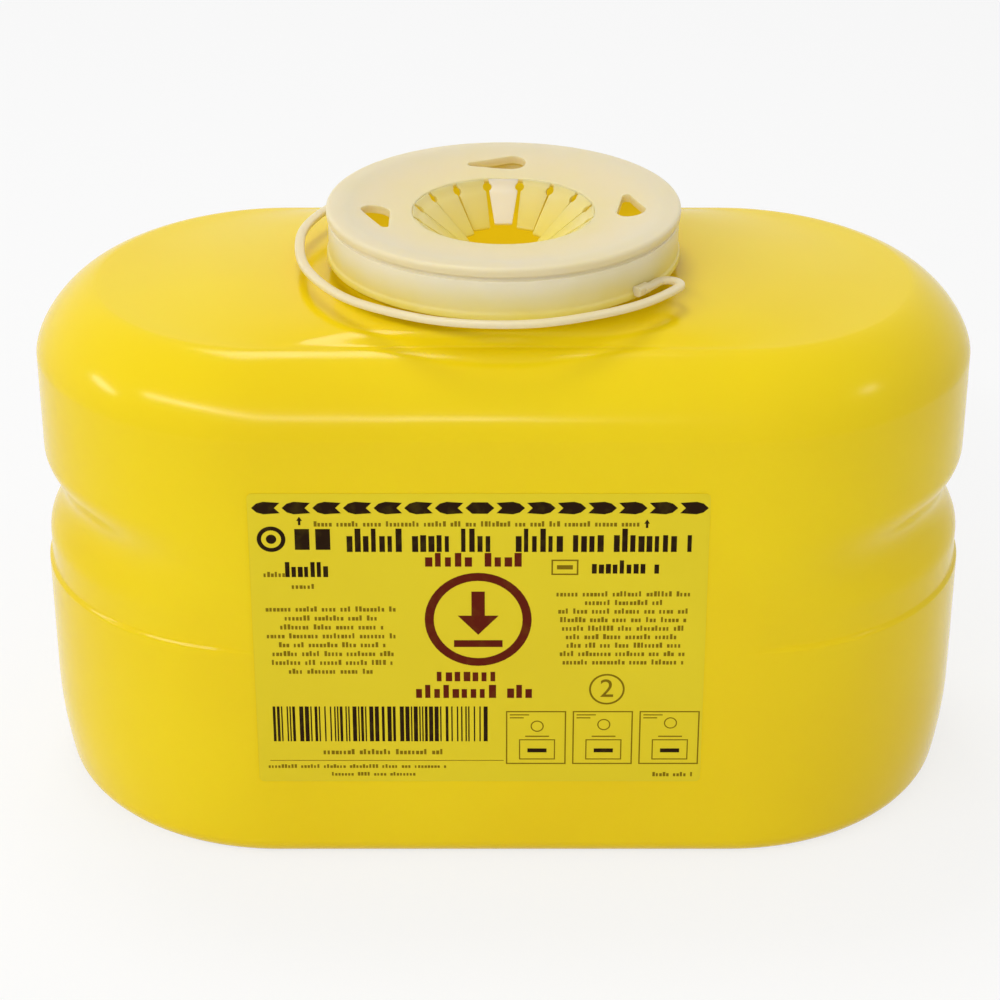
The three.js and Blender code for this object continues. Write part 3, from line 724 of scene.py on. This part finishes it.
def dish_drop(radius):
    share = np.clip((dish_edge - radius) / (dish_edge - lip_radius), 0, 1)
    return DISH_DEPTH * math.sin(share * math.pi / 2)


def drop_outline():
    """The keyhole's drop shape, its narrow end towards +Y."""
    lean = math.asin((KEYHOLE_WIDE_RADIUS - KEYHOLE_NARROW_RADIUS) / KEYHOLE_LENGTH)
    half = KEYHOLE_LENGTH / 2
    wide = (KEYHOLE_WIDE_RADIUS, -half, np.linspace(math.pi - lean, 2 * math.pi + lean, 40))
    narrow = (KEYHOLE_NARROW_RADIUS, half, np.linspace(lean, math.pi - lean, 16))
    arcs = [np.stack([radius * np.cos(turn), middle + radius * np.sin(turn)], 1)
            for radius, middle, turn in (wide, narrow)]
    return np.vstack(arcs)


def keyhole_cutter(angle):
    outline = drop_outline() + (keyhole_radius, 0.0)
    turn = math.radians(angle)
    spin = np.array([[math.cos(turn), math.sin(turn)], [-math.sin(turn), math.cos(turn)]])
    return prism("keyhole_cutter", outline @ spin, disc_under - DISH_DEPTH - CUT_PAST, disc_top + CUT_PAST)


def funnel_cap():
    lip = FUNNEL_RADIUS + HINGE_THICKNESS / 2 + LIP_TOUCH
    track = disc_top - DISC_EDGE
    rib_top = bead_middle - BEAD_HEIGHT / 2 - SNAP_GAP
    lip_under = disc_under - dish_drop(lip_radius)
    corners = [
        (lip + LIP_UNDERCUT, lip_under, 0.4),
        (keyhole_radius, disc_under - dish_drop(keyhole_radius), 1.0),
        (plug_inner, disc_under - dish_drop(plug_inner), 0.4),
        (plug_inner, disc_under - PLUG_DEPTH, 0.3),
        (plug_outer - PLUG_LEAD, disc_under - PLUG_DEPTH, 0.3),
        (plug_outer, disc_under - PLUG_DEPTH + PLUG_LEAD_HEIGHT, 0.3),
        (plug_outer, disc_under, 0.3),
        (skirt_inner, disc_under, 0.3),
        (skirt_inner, rib_top, 0.3),
        (skirt_inner - SNAP_RIB, rib_top - SNAP_RIB, 0.3),
        (skirt_inner, rib_top - 2.5 * SNAP_RIB, 0.3),
        (skirt_inner, skirt_bottom, 0.2),
        (skirt_rim, skirt_bottom, 0.35),
        (skirt_rim, skirt_bottom + SKIRT_RIM_HEIGHT, 0.4),
        (skirt_outer, skirt_bottom + SKIRT_RIM_HEIGHT + SKIRT_RIM, 0.5),
        (skirt_outer, track - TRACK_WIDTH, 0.4),
        (disc_radius - TRACK_DEPTH, track - TRACK_WIDTH, 0.2),
        (disc_radius - TRACK_DEPTH, track, 0.2),
        (disc_radius, track, 0.35),
        (disc_radius, disc_top, 1.1),
        (dish_edge, disc_top, 1.2),
    ]
    for t in np.linspace(0.12, 0.93, 12):
        radius = dish_edge + (lip - dish_edge) * t
        corners.append((radius, disc_top - dish_drop(radius), 0.0))
    corners += [
        (lip, lip_top, 0.7),
        (lip, hinge_level - HINGE_THICKNESS / 2, 0.1),
    ]
    cap = turned("cap_moulding", rounded(corners))
    for angle in KEYHOLE_ANGLES:
        combine(cap, keyhole_cutter(angle), "DIFFERENCE")
    soften(cap, EDGE_BREAK, 55)
    finish_shading(cap, 50)
    # The cap gets painted yellow low on its skirt and in the disc's middle, and a lighter painted skirt
    # wall.
    material = natural_plastic("natural_polypropylene_cap", skirt_painted_body_light, 1.0, painted_light_top=track,
                               middle_painted_body_light=0.28)
    return dress(cap, material, "container", "natural_plastic", "funnel_cap")


# Funnel fingers

def throat_reach(angle):
    """Half the throat's size in a direction, for a throat between an ellipse and a rectangle."""
    across = abs(math.cos(angle)) / (THROAT_WIDTH / 2)
    along = abs(math.sin(angle)) / (THROAT_LENGTH / 2)
    return (across ** THROAT_SQUARENESS + along ** THROAT_SQUARENESS) ** (-1 / THROAT_SQUARENESS)


def finger_plan(length, tilt):
    """Places along a finger and half its width there, with the bite of the relief hole."""
    def edge(u):
        return (FUNNEL_RADIUS - u * math.cos(tilt)) * math.tan(math.pi / FINGER_COUNT) - SLIT_WIDTH / 2
    dip = math.asin(SLIT_WIDTH / 2 / RELIEF_RADIUS)
    turn = np.linspace(dip, math.pi - dip, 15)
    along = [-HINGE_THICKNESS / 2, *(RELIEF_INSET - RELIEF_RADIUS * np.cos(turn)), length]
    half = [edge(0), *(edge(RELIEF_INSET) + SLIT_WIDTH / 2 - RELIEF_RADIUS * np.sin(turn)), edge(length)]
    return along, half


def soft_box(half, top, under, soft):
    """A cross-section with soft corners, from half its width and the levels of its top and underside."""
    right, left = half - soft, soft - half
    high, low = top - soft, under + soft
    corners = []
    for k, centre in enumerate(((right, high), (left, high), (left, low), (right, low))):
        turn = np.radians(np.linspace(90 * k, 90 * k + 90, 4))
        corners.append(centre + soft * np.stack([np.cos(turn), np.sin(turn)], 1))
    return np.vstack(corners)


def finger_rings(length, tilt):
    """Cross-sections of a finger that lies along X, from its half-round hinge on the Y axis to its tip."""
    hinge = HINGE_THICKNESS / 2
    under = hinge - FINGER_THICKNESS
    along, half = finger_plan(length, tilt)
    quarter = np.radians(np.linspace(10, 90, 6))
    tip = length - FINGER_TIP_ROUND * (1 - np.sin(quarter))
    places = np.unique(np.concatenate([
        -hinge * np.cos(quarter), along[1:-1], [HINGE_LENGTH, HINGE_LENGTH * 2],
        np.linspace(HINGE_LENGTH * 4, length - 1, 4), tip,
    ]))
    rings = []
    for u in places:
        high = math.sqrt(hinge ** 2 - min(u, 0) ** 2)
        low = -high if u < 0 else np.interp(u, (HINGE_LENGTH, HINGE_LENGTH * 2), (-hinge, under))
        near_tip = max(0.0, u - length + FINGER_TIP_ROUND)
        drop = FINGER_TIP_ROUND - math.sqrt(max(0.0, FINGER_TIP_ROUND ** 2 - near_tip ** 2))
        soft = min(FINGER_EDGE, high * 0.4)
        width = np.interp(u, along, half) - drop * FINGER_EDGE / FINGER_TIP_ROUND
        box = soft_box(width, high - drop, low + drop, soft)
        rings.append(np.column_stack([np.full(len(box), u), box]))
    return np.array(rings)


def funnel_finger(index, material):
    """One sprung finger, from its hinge at the lip down to the throat."""
    angle = index * 2 * math.pi / FINGER_COUNT
    reach = throat_reach(angle)
    lift = math.radians(PROUD_LIFT) if index == PROUD_FINGER else 0.0
    tilt = math.atan2(FUNNEL_DEPTH, FUNNEL_RADIUS - reach) - lift
    rings = finger_rings((FUNNEL_RADIUS - reach) / math.cos(tilt), tilt)
    along, across, up = rings[..., 0], rings[..., 1], rings[..., 2]
    out = FUNNEL_RADIUS - along * math.cos(tilt) - up * math.sin(tilt)
    height = hinge_level - along * math.sin(tilt) + up * math.cos(tilt)
    placed = np.stack([out * math.cos(angle) - across * math.sin(angle),
                       out * math.sin(angle) + across * math.cos(angle), height], -1)
    number = "%02d" % (index + 1)
    finger = loft("sprung_finger_" + number, placed[:, ::-1], sharp=40)
    return dress(finger, material, "finger_" + number, "natural_plastic", "funnel_finger_" + number)


def funnel_fingers():
    """The fingers have a milky finish with a painted yellow towards their tips, for the body's light
    showing through.
    The rear one stands a little proud and is painted the whitest: a lighter copy of the material, as
    painted light where it faces the light."""
    painted_body_light_fingers = natural_plastic("natural_polypropylene_fingers", FINGER_PAINTED_BODY_LIGHT, 1.0)
    painted_lit_finger = natural_plastic("natural_polypropylene_painted_lit_finger", FINGER_PAINTED_BODY_LIGHT, 0.0, NATURAL_PAINTED_LIT)
    for index in range(FINGER_COUNT):
        funnel_finger(index, painted_lit_finger if index == PROUD_FINGER else painted_body_light_fingers)


# Tether

def polar(radius, degrees):
    angle = np.radians(degrees)
    return np.stack([radius * np.cos(angle), radius * np.sin(angle)], -1)


def strap_route():
    """The strap's middle line seen from above: out of the skirt, round the hairpin and round the cap."""
    foot = skirt_rim + STRAP_WIDTH / 2 - SEAT_GAP
    bend = (strap_radius - foot) / 2
    inner = polar(foot, np.linspace(STRAP_ROOT_ANGLE, STRAP_BEND_ANGLE, 8))
    centre = polar(foot + bend, STRAP_BEND_ANGLE)
    hairpin = centre + polar(bend, STRAP_BEND_ANGLE + 180 - np.linspace(0, 180, 26)[1:-1])
    degrees = np.linspace(STRAP_BEND_ANGLE, STRAP_END_ANGLE, 240)
    sway = 0.16 * np.sin(np.radians(degrees) * 7) + 0.1 * np.sin(np.radians(degrees) * 13 + 1)
    outer = polar(strap_radius + sway, degrees)
    return np.vstack([inner, hairpin, outer])


def swept(name, route, heights, half_width, half_height, fullness=2.8):
    """A bar of a soft-cornered section along a level route. Both ends are closed."""
    along = np.gradient(route, axis=0)
    along /= np.linalg.norm(along, axis=1)[:, None]
    across = np.stack([along[:, 1], -along[:, 0]], 1)
    turn = np.linspace(0, 2 * math.pi, 20, endpoint=False)
    u = np.sign(np.cos(turn)) * np.abs(np.cos(turn)) ** (2 / fullness) * half_width
    v = np.sign(np.sin(turn)) * np.abs(np.sin(turn)) ** (2 / fullness) * half_height
    rings = [np.column_stack([p + a * u[:, None], v + z]) for p, a, z in zip(route, across, heights)]
    return loft(name, np.array(rings)[:, ::-1], sharp=50)


def block(name, width, depth, height, centre, round_by=0.3):
    """A soft-edged block, of a width along X, depth along Y and height along Z."""
    x, y = width / 2, depth / 2
    outline = rounded([(-x, -y, round_by), (x, -y, round_by), (x, y, round_by), (-x, y, round_by)])
    outline += centre[:2]
    return prism(name, outline, centre[2] - height / 2, centre[2] + height / 2)


def knuckle(name, width, centre):
    """A round bar along X."""
    turn = np.linspace(0, 2 * math.pi, 32, endpoint=False)
    rings = []
    for x, share in ((-0.5, 0.75), (-0.47, 1.0), (0.47, 1.0), (0.5, 0.75)):
        radius = KNUCKLE_RADIUS * share
        ring = np.stack([np.full(32, x * width), radius * np.cos(turn), radius * np.sin(turn)], 1)
        rings.append(ring + centre)
    return loft(name, rings, sharp=40)


def tether_strap(material):
    route = strap_route()
    dip = 0.22 * np.sin(np.linspace(0, 9, len(route))) * smoothstep(np.arange(len(route)), 20, 60)
    strap = swept("strap_loop", route, strap_level + dip, STRAP_WIDTH / 2, STRAP_THICKNESS / 2)
    near = strap_radius - STRAP_WIDTH / 2
    tab_centre = np.array((0, (near + fold_y) / 2, strap_level))
    combine(strap, block("tab", FOLD_TAB_WIDTH, fold_y - near, FOLD_TAB_THICKNESS, tab_centre), "UNION")
    combine(strap, knuckle("bar", FOLD_TAB_WIDTH, np.array((0, fold_y, strap_level))), "UNION")
    turns = STRAP_ROOT_ANGLE + np.linspace(-STRAP_FOOT_TURN, STRAP_FOOT_TURN, 7)
    foot_route = polar(skirt_rim + STRAP_WIDTH / 2 - 2 * SEAT_GAP, turns)
    foot_levels = np.full(len(turns), strap_level)
    foot = swept("foot", foot_route, foot_levels, STRAP_WIDTH / 2, STRAP_FOOT_HEIGHT / 2, 4.0)
    combine(strap, foot, "UNION")
    finish_shading(strap, 50)
    return dress(strap, material, "container", "natural_plastic", "tether_strap")


def place_part(obj, turn_x, move):
    """Turns a piece's mesh about X, in degrees, and moves it, in millimetres."""
    cosine, sine = math.cos(math.radians(turn_x)), math.sin(math.radians(turn_x))
    spin = np.array([[1, 0, 0], [0, cosine, -sine], [0, sine, cosine]])
    at = np.array([vertex.co[:] for vertex in obj.data.vertices]) @ spin.T + np.array(move) / 1000
    obj.data.vertices.foreach_set("co", at.ravel())
    obj.data.update()


def tether_link(material):
    start = KNUCKLE_RADIUS + KNUCKLE_GAP
    middle = np.array((0, (start + link_length) / 2, 0.0))
    link = block("link_strap", FOLD_TAB_WIDTH, link_length - start, FOLD_TAB_THICKNESS, middle)
    combine(link, knuckle("bar", FOLD_TAB_WIDTH, np.array((0, link_length, 0.0))), "UNION")
    finish_shading(link, 40)
    place_part(link, -math.degrees(math.atan2(LINK_DROP, link_out)), (0, fold_y, strap_level))
    return dress(link, material, "tether_link", "natural_plastic", "tether_link")


def closure_lid(material):
    fold_above = strap_level + link_length
    seal_bottom = disc_top - dish_drop(seal_radius) + SEAL_CLEARANCE
    skirt_end = lid_top - LID_SKIRT_DEPTH
    corners = [
        (LID_MIDDLE, lid_under, 0),
        (seal_radius - SEAL_WALL, lid_under, 0.4),
        (seal_radius - SEAL_WALL, seal_bottom, 0.3),
        (seal_radius, seal_bottom, 0.3),
        (seal_radius, lid_under, 0.4),
        (lid_inner, lid_under, 0.4),
        (lid_inner, skirt_end, 0.3),
        (lid_outer, skirt_end, 0.4),
        (lid_outer, lid_top, LID_ROUND),
        (LID_MIDDLE, lid_top, 0),
    ]
    lid = turned("lid_shell", rounded(corners, closed=False), closed=False)
    tab_near = lid_outer - LID_SKIRT_WALL / 2
    tab_far = fold_y - KNUCKLE_RADIUS - KNUCKLE_GAP
    tab_level = lid_top - FOLD_TAB_THICKNESS / 2
    tab_middle = np.array((0, (tab_near + tab_far) / 2, tab_level))
    combine(lid, block("tab", FOLD_TAB_WIDTH, tab_far - tab_near, FOLD_TAB_THICKNESS, tab_middle), "UNION")
    lift_near = math.sqrt(tab_near ** 2 - (LIFT_TAB_WIDTH / 2) ** 2) - LIFT_TAB_CORNER
    lift_far = lid_outer + LIFT_TAB_LENGTH
    lift_length = lift_far - lift_near
    lift_middle = np.array((0, -(lift_near + lift_far) / 2, tab_level))
    lift = block("lift", LIFT_TAB_WIDTH, lift_length, FOLD_TAB_THICKNESS, lift_middle, LIFT_TAB_CORNER)
    combine(lid, lift, "UNION")
    finish_shading(lid, 40)
    place_part(lid, 0, (0, -fold_y, -fold_above))
    place_part(lid, 90, (0, fold_y + link_out, strap_level - LINK_DROP))
    return dress(lid, material, "closure_lid", "natural_plastic", "closure_lid")


# Label

label_left = LABEL_CENTRE_X - LABEL_WIDTH / 2
label_top = LABEL_BOTTOM + LABEL_HEIGHT
film_front = end_radius + PRINT_LIFT + FILM_THICKNESS
print_front = film_front + PRINT_LIFT


def label_piece(name, outlines, material, front=print_front, thickness=PRINT_THICKNESS):
    """Thin shapes on the front. An outline is a list of (right, down) points, or two lists for a ring."""
    points = []
    faces = []
    for outline in outlines:
        loops = outline if isinstance(outline, tuple) else (outline,)
        start = len(points)
        count = len(loops[0])
        for depth in (front, front - thickness):
            for loop in loops:
                points += [(label_left + u, -depth, label_top - v) for u, v in loop]
        if len(loops) == 1:
            faces.append([start + i for i in range(count)])
            faces.append([start + count + i for i in range(count)][::-1])
            for i in range(count):
                j = (i + 1) % count
                faces.append([start + j, start + i, start + count + i, start + count + j])
        else:
            near_out, near_in, far_out, far_in = (start + k * count for k in range(4))
            for i in range(count):
                j = (i + 1) % count
                faces.append([near_out + i, near_out + j, near_in + j, near_in + i])
                faces.append([far_out + j, far_out + i, far_in + i, far_in + j])
                faces.append([near_out + j, near_out + i, far_out + i, far_out + j])
                faces.append([near_in + i, near_in + j, far_in + j, far_in + i])
    made = make_mesh(name, points, faces)
    return dress(made, material, "container", "label_film")


def rectangle(left, top, width, height):
    return [(left, top), (left, top + height), (left + width, top + height), (left + width, top)]


def circle(u, v, radius):
    turn = np.linspace(0, 2 * math.pi, 48, endpoint=False)
    return [(u + radius * math.cos(a), v + radius * math.sin(a)) for a in turn]


def ring(u, v, radius, line):
    return (circle(u, v, radius), circle(u, v, radius - line))


def box_line(left, top, width, height, line):
    inner = rectangle(left + line, top + line, width - 2 * line, height - 2 * line)
    return (rectangle(left, top, width, height), inner)


def letter_bars(left, base, width, height, pitch, draw):
    """A line of plain bars in place of words: uneven in width and height, with gaps as between words."""
    bars = []
    at = left
    until_gap = draw.randint(3, 9)
    while at < left + width - pitch * 0.5:
        bar = pitch * draw.uniform(0.5, 0.78)
        tall = height * draw.choice((0.68, 0.68, 0.72, 1.0))
        if until_gap:
            bars.append(rectangle(at, base - tall, min(bar, left + width - at), tall))
            until_gap -= 1
        else:
            until_gap = draw.randint(3, 9)
        at += pitch
    return bars


def bar_lines(lines, draw):
    return [bar for line in lines for bar in letter_bars(*line, draw)]


def paragraph(middle, top, line_pitch, widths, draw):
    """Centred lines of small bars."""
    lines = [(middle - width / 2, top + i * line_pitch, width, TEXT_HEIGHT, TEXT_PITCH)
             for i, width in enumerate(widths)]
    return bar_lines(lines, draw)


def arrow_row():
    """The fill line: arrowheads that point outwards from a lozenge in the middle."""
    middle = LABEL_WIDTH / 2 + 0.3
    half = [(3.6, 0.0), (2.3, 1.25), (0.6, 1.75), (-3.5, 1.45), (-2.1, 0.0)]
    head = half + [(x, -y) for x, y in half[-2:0:-1]]
    lozenge = [(-3.6, 0.0), (-1.9, -1.6), (1.9, -1.6), (3.6, 0.0), (1.9, 1.6), (-1.9, 1.6)]
    shapes = [[(middle + x, ARROW_LEVEL + y) for x, y in lozenge]]
    for side in (1, -1):
        for i in range(1, ARROWS_EACH_WAY + 1):
            at = i * ARROW_PITCH
            shapes.append([(middle + side * (at + x), ARROW_LEVEL + y) for x, y in head])
    return shapes


def pointer(u, v):
    """A small arrow that points up at the fill line."""
    barb, stem = POINTER_SIZE * 0.6, POINTER_SIZE * 0.25
    return [(u, v - POINTER_SIZE), (u - barb, v), (u - stem, v), (u - stem, v + POINTER_SIZE),
            (u + stem, v + POINTER_SIZE), (u + stem, v), (u + barb, v)]


def drop_in_sign():
    """A plain sign in the label's middle: a ring round an arrow that points down at a bar."""
    u, v = SIGN_PLACE
    stem, barb, top, neck, tip = 1.7, 5.2, v - 8.2, v - 1.2, v + 4.4
    arrow = [(u - stem, top), (u + stem, top), (u + stem, neck), (u + barb, neck), (u, tip),
             (u - barb, neck), (u - stem, neck)]
    return [ring(u, v, SIGN_RADIUS, SIGN_LINE), arrow, rectangle(u - 6.2, v + 6.0, 12.4, 2.0)]


def stripe_block(draw):
    """A block of stripes of uneven widths."""
    shapes = []
    at = STRIPES_LEFT
    while at < STRIPES_RIGHT:
        stripe = draw.choice((0.35, 0.35, 0.7, 1.05))
        shapes.append(rectangle(at, STRIPES_TOP, min(stripe, STRIPES_RIGHT - at), STRIPES_HEIGHT))
        at += stripe + draw.choice((0.38, 0.38, 0.75, 1.1))
    return shapes


def box_drawings():
    """Three outlined boxes, each with a plain bin, its dark slot and a ring above it."""
    shapes = []
    dark = []
    for i, left in enumerate(BOX_LEFTS):
        shapes.append(box_line(left, BOX_TOP, BOX_WIDTH, BOX_HEIGHT, 0.35))
        shapes.append(box_line(left + 3.4, BOX_TOP + 8.6, 9.4, 6.2, 0.3))
        shapes.append(rectangle(left + 5.0, BOX_TOP + 7.5, 6.2, 0.35))
        shapes.append(ring(left + 8.1, BOX_TOP + 4.6 - 0.5 * i, 1.7, 0.3))
        shapes.append(rectangle(left + 1.0, BOX_TOP + 1.0, 5.0, 0.3))
        shapes.append(rectangle(left + 1.0, BOX_TOP + 1.9, 3.6, 0.3))
        dark.append(rectangle(left + 5.6, BOX_TOP + 11.4, 5.0, 1.2))
    return shapes, dark


def numeral(text, u, v, material):
    """A plain number, centred on a place of the label."""
    curve = bpy.data.curves.new("numeral_curve", "FONT")
    curve.body = text
    curve.align_x = "CENTER"
    curve.align_y = "CENTER"
    curve.size = NUMBER_HEIGHT / 1000
    curve.extrude = PRINT_THICKNESS / 2000
    source = bpy.data.objects.new("numeral_curve", curve)
    bpy.context.scene.collection.objects.link(source)
    graph = bpy.context.evaluated_depsgraph_get()
    mesh = bpy.data.meshes.new_from_object(source.evaluated_get(graph))
    bpy.data.objects.remove(source)
    made = bpy.data.objects.new("printed_numeral", mesh)
    bpy.context.scene.collection.objects.link(made)
    place_part(made, 90, (label_left + u, -print_front, label_top - v))
    return dress(made, material, "container", "label_film")


def small_print(draw):
    """The notes, the two paragraphs, a rule under the stripes and a small panel."""
    shapes = bar_lines(TOP_NOTES, draw)
    shapes += paragraph(*LEFT_TEXT, draw)
    shapes += paragraph(*RIGHT_TEXT, draw)
    shapes += bar_lines(FOOT_NOTES, draw)
    shapes.append(rectangle(3.0, 78.2, 61.0, 0.18))
    u, v = PANEL_PLACE
    shapes.append(box_line(u, v, 6.8, 4.4, 0.4))
    shapes.append(rectangle(u + 1.4, v + 1.6, 4.0, 1.2))
    return shapes


def headings(draw):
    """The large bars, with a target and two squares before them and the pointers at the fill line."""
    shapes = bar_lines(HEADINGS, draw)
    shapes += [ring(*TARGET_PLACE, 3.6, 1.1), circle(*TARGET_PLACE, 1.3)]
    shapes += [rectangle(SQUARES_LEFT + SQUARES_PITCH * i, SQUARES_TOP, 3.7, 5.9) for i in range(2)]
    shapes += [pointer(u, v) for u, v in POINTER_PLACES]
    return shapes


def front_label():
    film = rounded([(u, v, LABEL_CORNER) for u, v in rectangle(0, 0, LABEL_WIDTH, LABEL_HEIGHT)])
    film = [tuple(point) for point in film]
    made = label_piece("label_film", [film], label_film(), film_front, FILM_THICKNESS)
    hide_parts("front_label")
    draw = random.Random(7)
    black = ink("ink_black", INK_BLACK)
    brown = ink("ink_brown", INK_BROWN)
    red = ink("ink_red", INK_RED)
    small = small_print(draw)
    heads = headings(draw)
    titles = bar_lines(TITLES, draw)
    boxes, slots = box_drawings()
    label_piece("printed_fill_line", arrow_row(), black)
    label_piece("printed_headings", heads + slots, black)
    label_piece("printed_stripes", stripe_block(draw), black)
    label_piece("printed_small_lines", small + boxes, brown)
    label_piece("printed_titles", titles, red)
    label_piece("printed_sign", drop_in_sign(), red)
    label_piece("printed_number_ring", [ring(*NUMBER_PLACE, NUMBER_RING, 0.5)], brown)
    numeral("2", *NUMBER_PLACE, brown)


# Studio

def studio_floor():
    """A pale floor that looks white to the camera and keeps the object's shadow."""
    corners = ((-1, -1), (1, -1), (1, 1), (-1, 1))
    points = [(FLOOR_REACH * x, FLOOR_REACH * y, -FLOOR_DROP) for x, y in corners]
    floor = make_mesh("floor", points, [(0, 1, 2, 3)])
    material, nodes, links, shader = new_material("pale_floor", FLOOR_GREY, 0.9)
    glow = nodes.new("ShaderNodeEmission")
    glow.inputs["Color"].default_value = WHITE
    mix = nodes.new("ShaderNodeMixShader")
    seen = seen_directly(nodes, links)
    part = nodes.new("ShaderNodeMath")
    part.operation = "MULTIPLY"
    part.inputs[1].default_value = FLOOR_GLOW
    links.new(seen, part.inputs[0])
    links.new(part.outputs[0], mix.inputs["Fac"])
    links.new(shader.outputs["BSDF"], mix.inputs[1])
    links.new(glow.outputs["Emission"], mix.inputs[2])
    links.new(mix.outputs["Shader"], nodes["Material Output"].inputs["Surface"])
    floor.data.materials.append(material)


def seen_directly(nodes, links):
    """1 for camera, glossy and transmission rays, else 0."""
    path = nodes.new("ShaderNodeLightPath")
    total = path.outputs["Is Camera Ray"]
    for name in ("Is Glossy Ray", "Is Transmission Ray"):
        most = nodes.new("ShaderNodeMath")
        most.operation = "MAXIMUM"
        links.new(total, most.inputs[0])
        links.new(path.outputs[name], most.inputs[1])
        total = most.outputs[0]
    return total


def studio_world():
    world = bpy.data.worlds.new("studio")
    bpy.context.scene.world = world
    world.use_nodes = True
    nodes, links = world.node_tree.nodes, world.node_tree.links
    background = nodes["Background"]
    background.inputs["Color"].default_value = WHITE
    strength = ranged(nodes, links, seen_directly(nodes, links), 0, 1, AMBIENT, 1.0)
    links.new(strength, background.inputs["Strength"])


def lamp(name, place, width, height, power):
    """A soft rectangular lamp that shines at the object."""
    light = bpy.data.lights.new(name, "AREA")
    light.shape = "RECTANGLE"
    light.size = width
    light.size_y = height
    light.energy = power
    made = bpy.data.objects.new(name, light)
    made.location = place
    aim = Vector(LAMP_AIM) - Vector(place)
    made.rotation_euler = aim.to_track_quat("-Z", "Y").to_euler()
    bpy.context.scene.collection.objects.link(made)


def studio_camera():
    azimuth = math.radians(CAMERA_AZIMUTH)
    elevation = math.radians(CAMERA_ELEVATION)
    back = Vector((math.sin(azimuth) * math.cos(elevation), -math.cos(azimuth) * math.cos(elevation),
                   math.sin(elevation)))
    camera = bpy.data.cameras.new("camera")
    camera.lens = LENS
    camera.sensor_width = 36
    made = bpy.data.objects.new("camera", camera)
    made.location = (Vector(CAMERA_TARGET) + back * CAMERA_DISTANCE) / 1000
    made.rotation_euler = (-back).to_track_quat("-Z", "Y").to_euler()
    bpy.context.scene.collection.objects.link(made)
    bpy.context.scene.camera = made


studio_camera()
studio_world()
studio_floor()
for facts in LAMPS:
    lamp(*facts)
bpy.context.scene.view_settings.view_transform = "Standard"

container_body()
funnel_cap()
funnel_fingers()
# The tether gets a faint painted yellow low down, for the body's light showing through.
tether_plastic = natural_plastic("natural_polypropylene_tether", TETHER_PAINTED_BODY_LIGHT, 0.1)
tether_strap(tether_plastic)
tether_link(tether_plastic)
closure_lid(tether_plastic)
front_label()
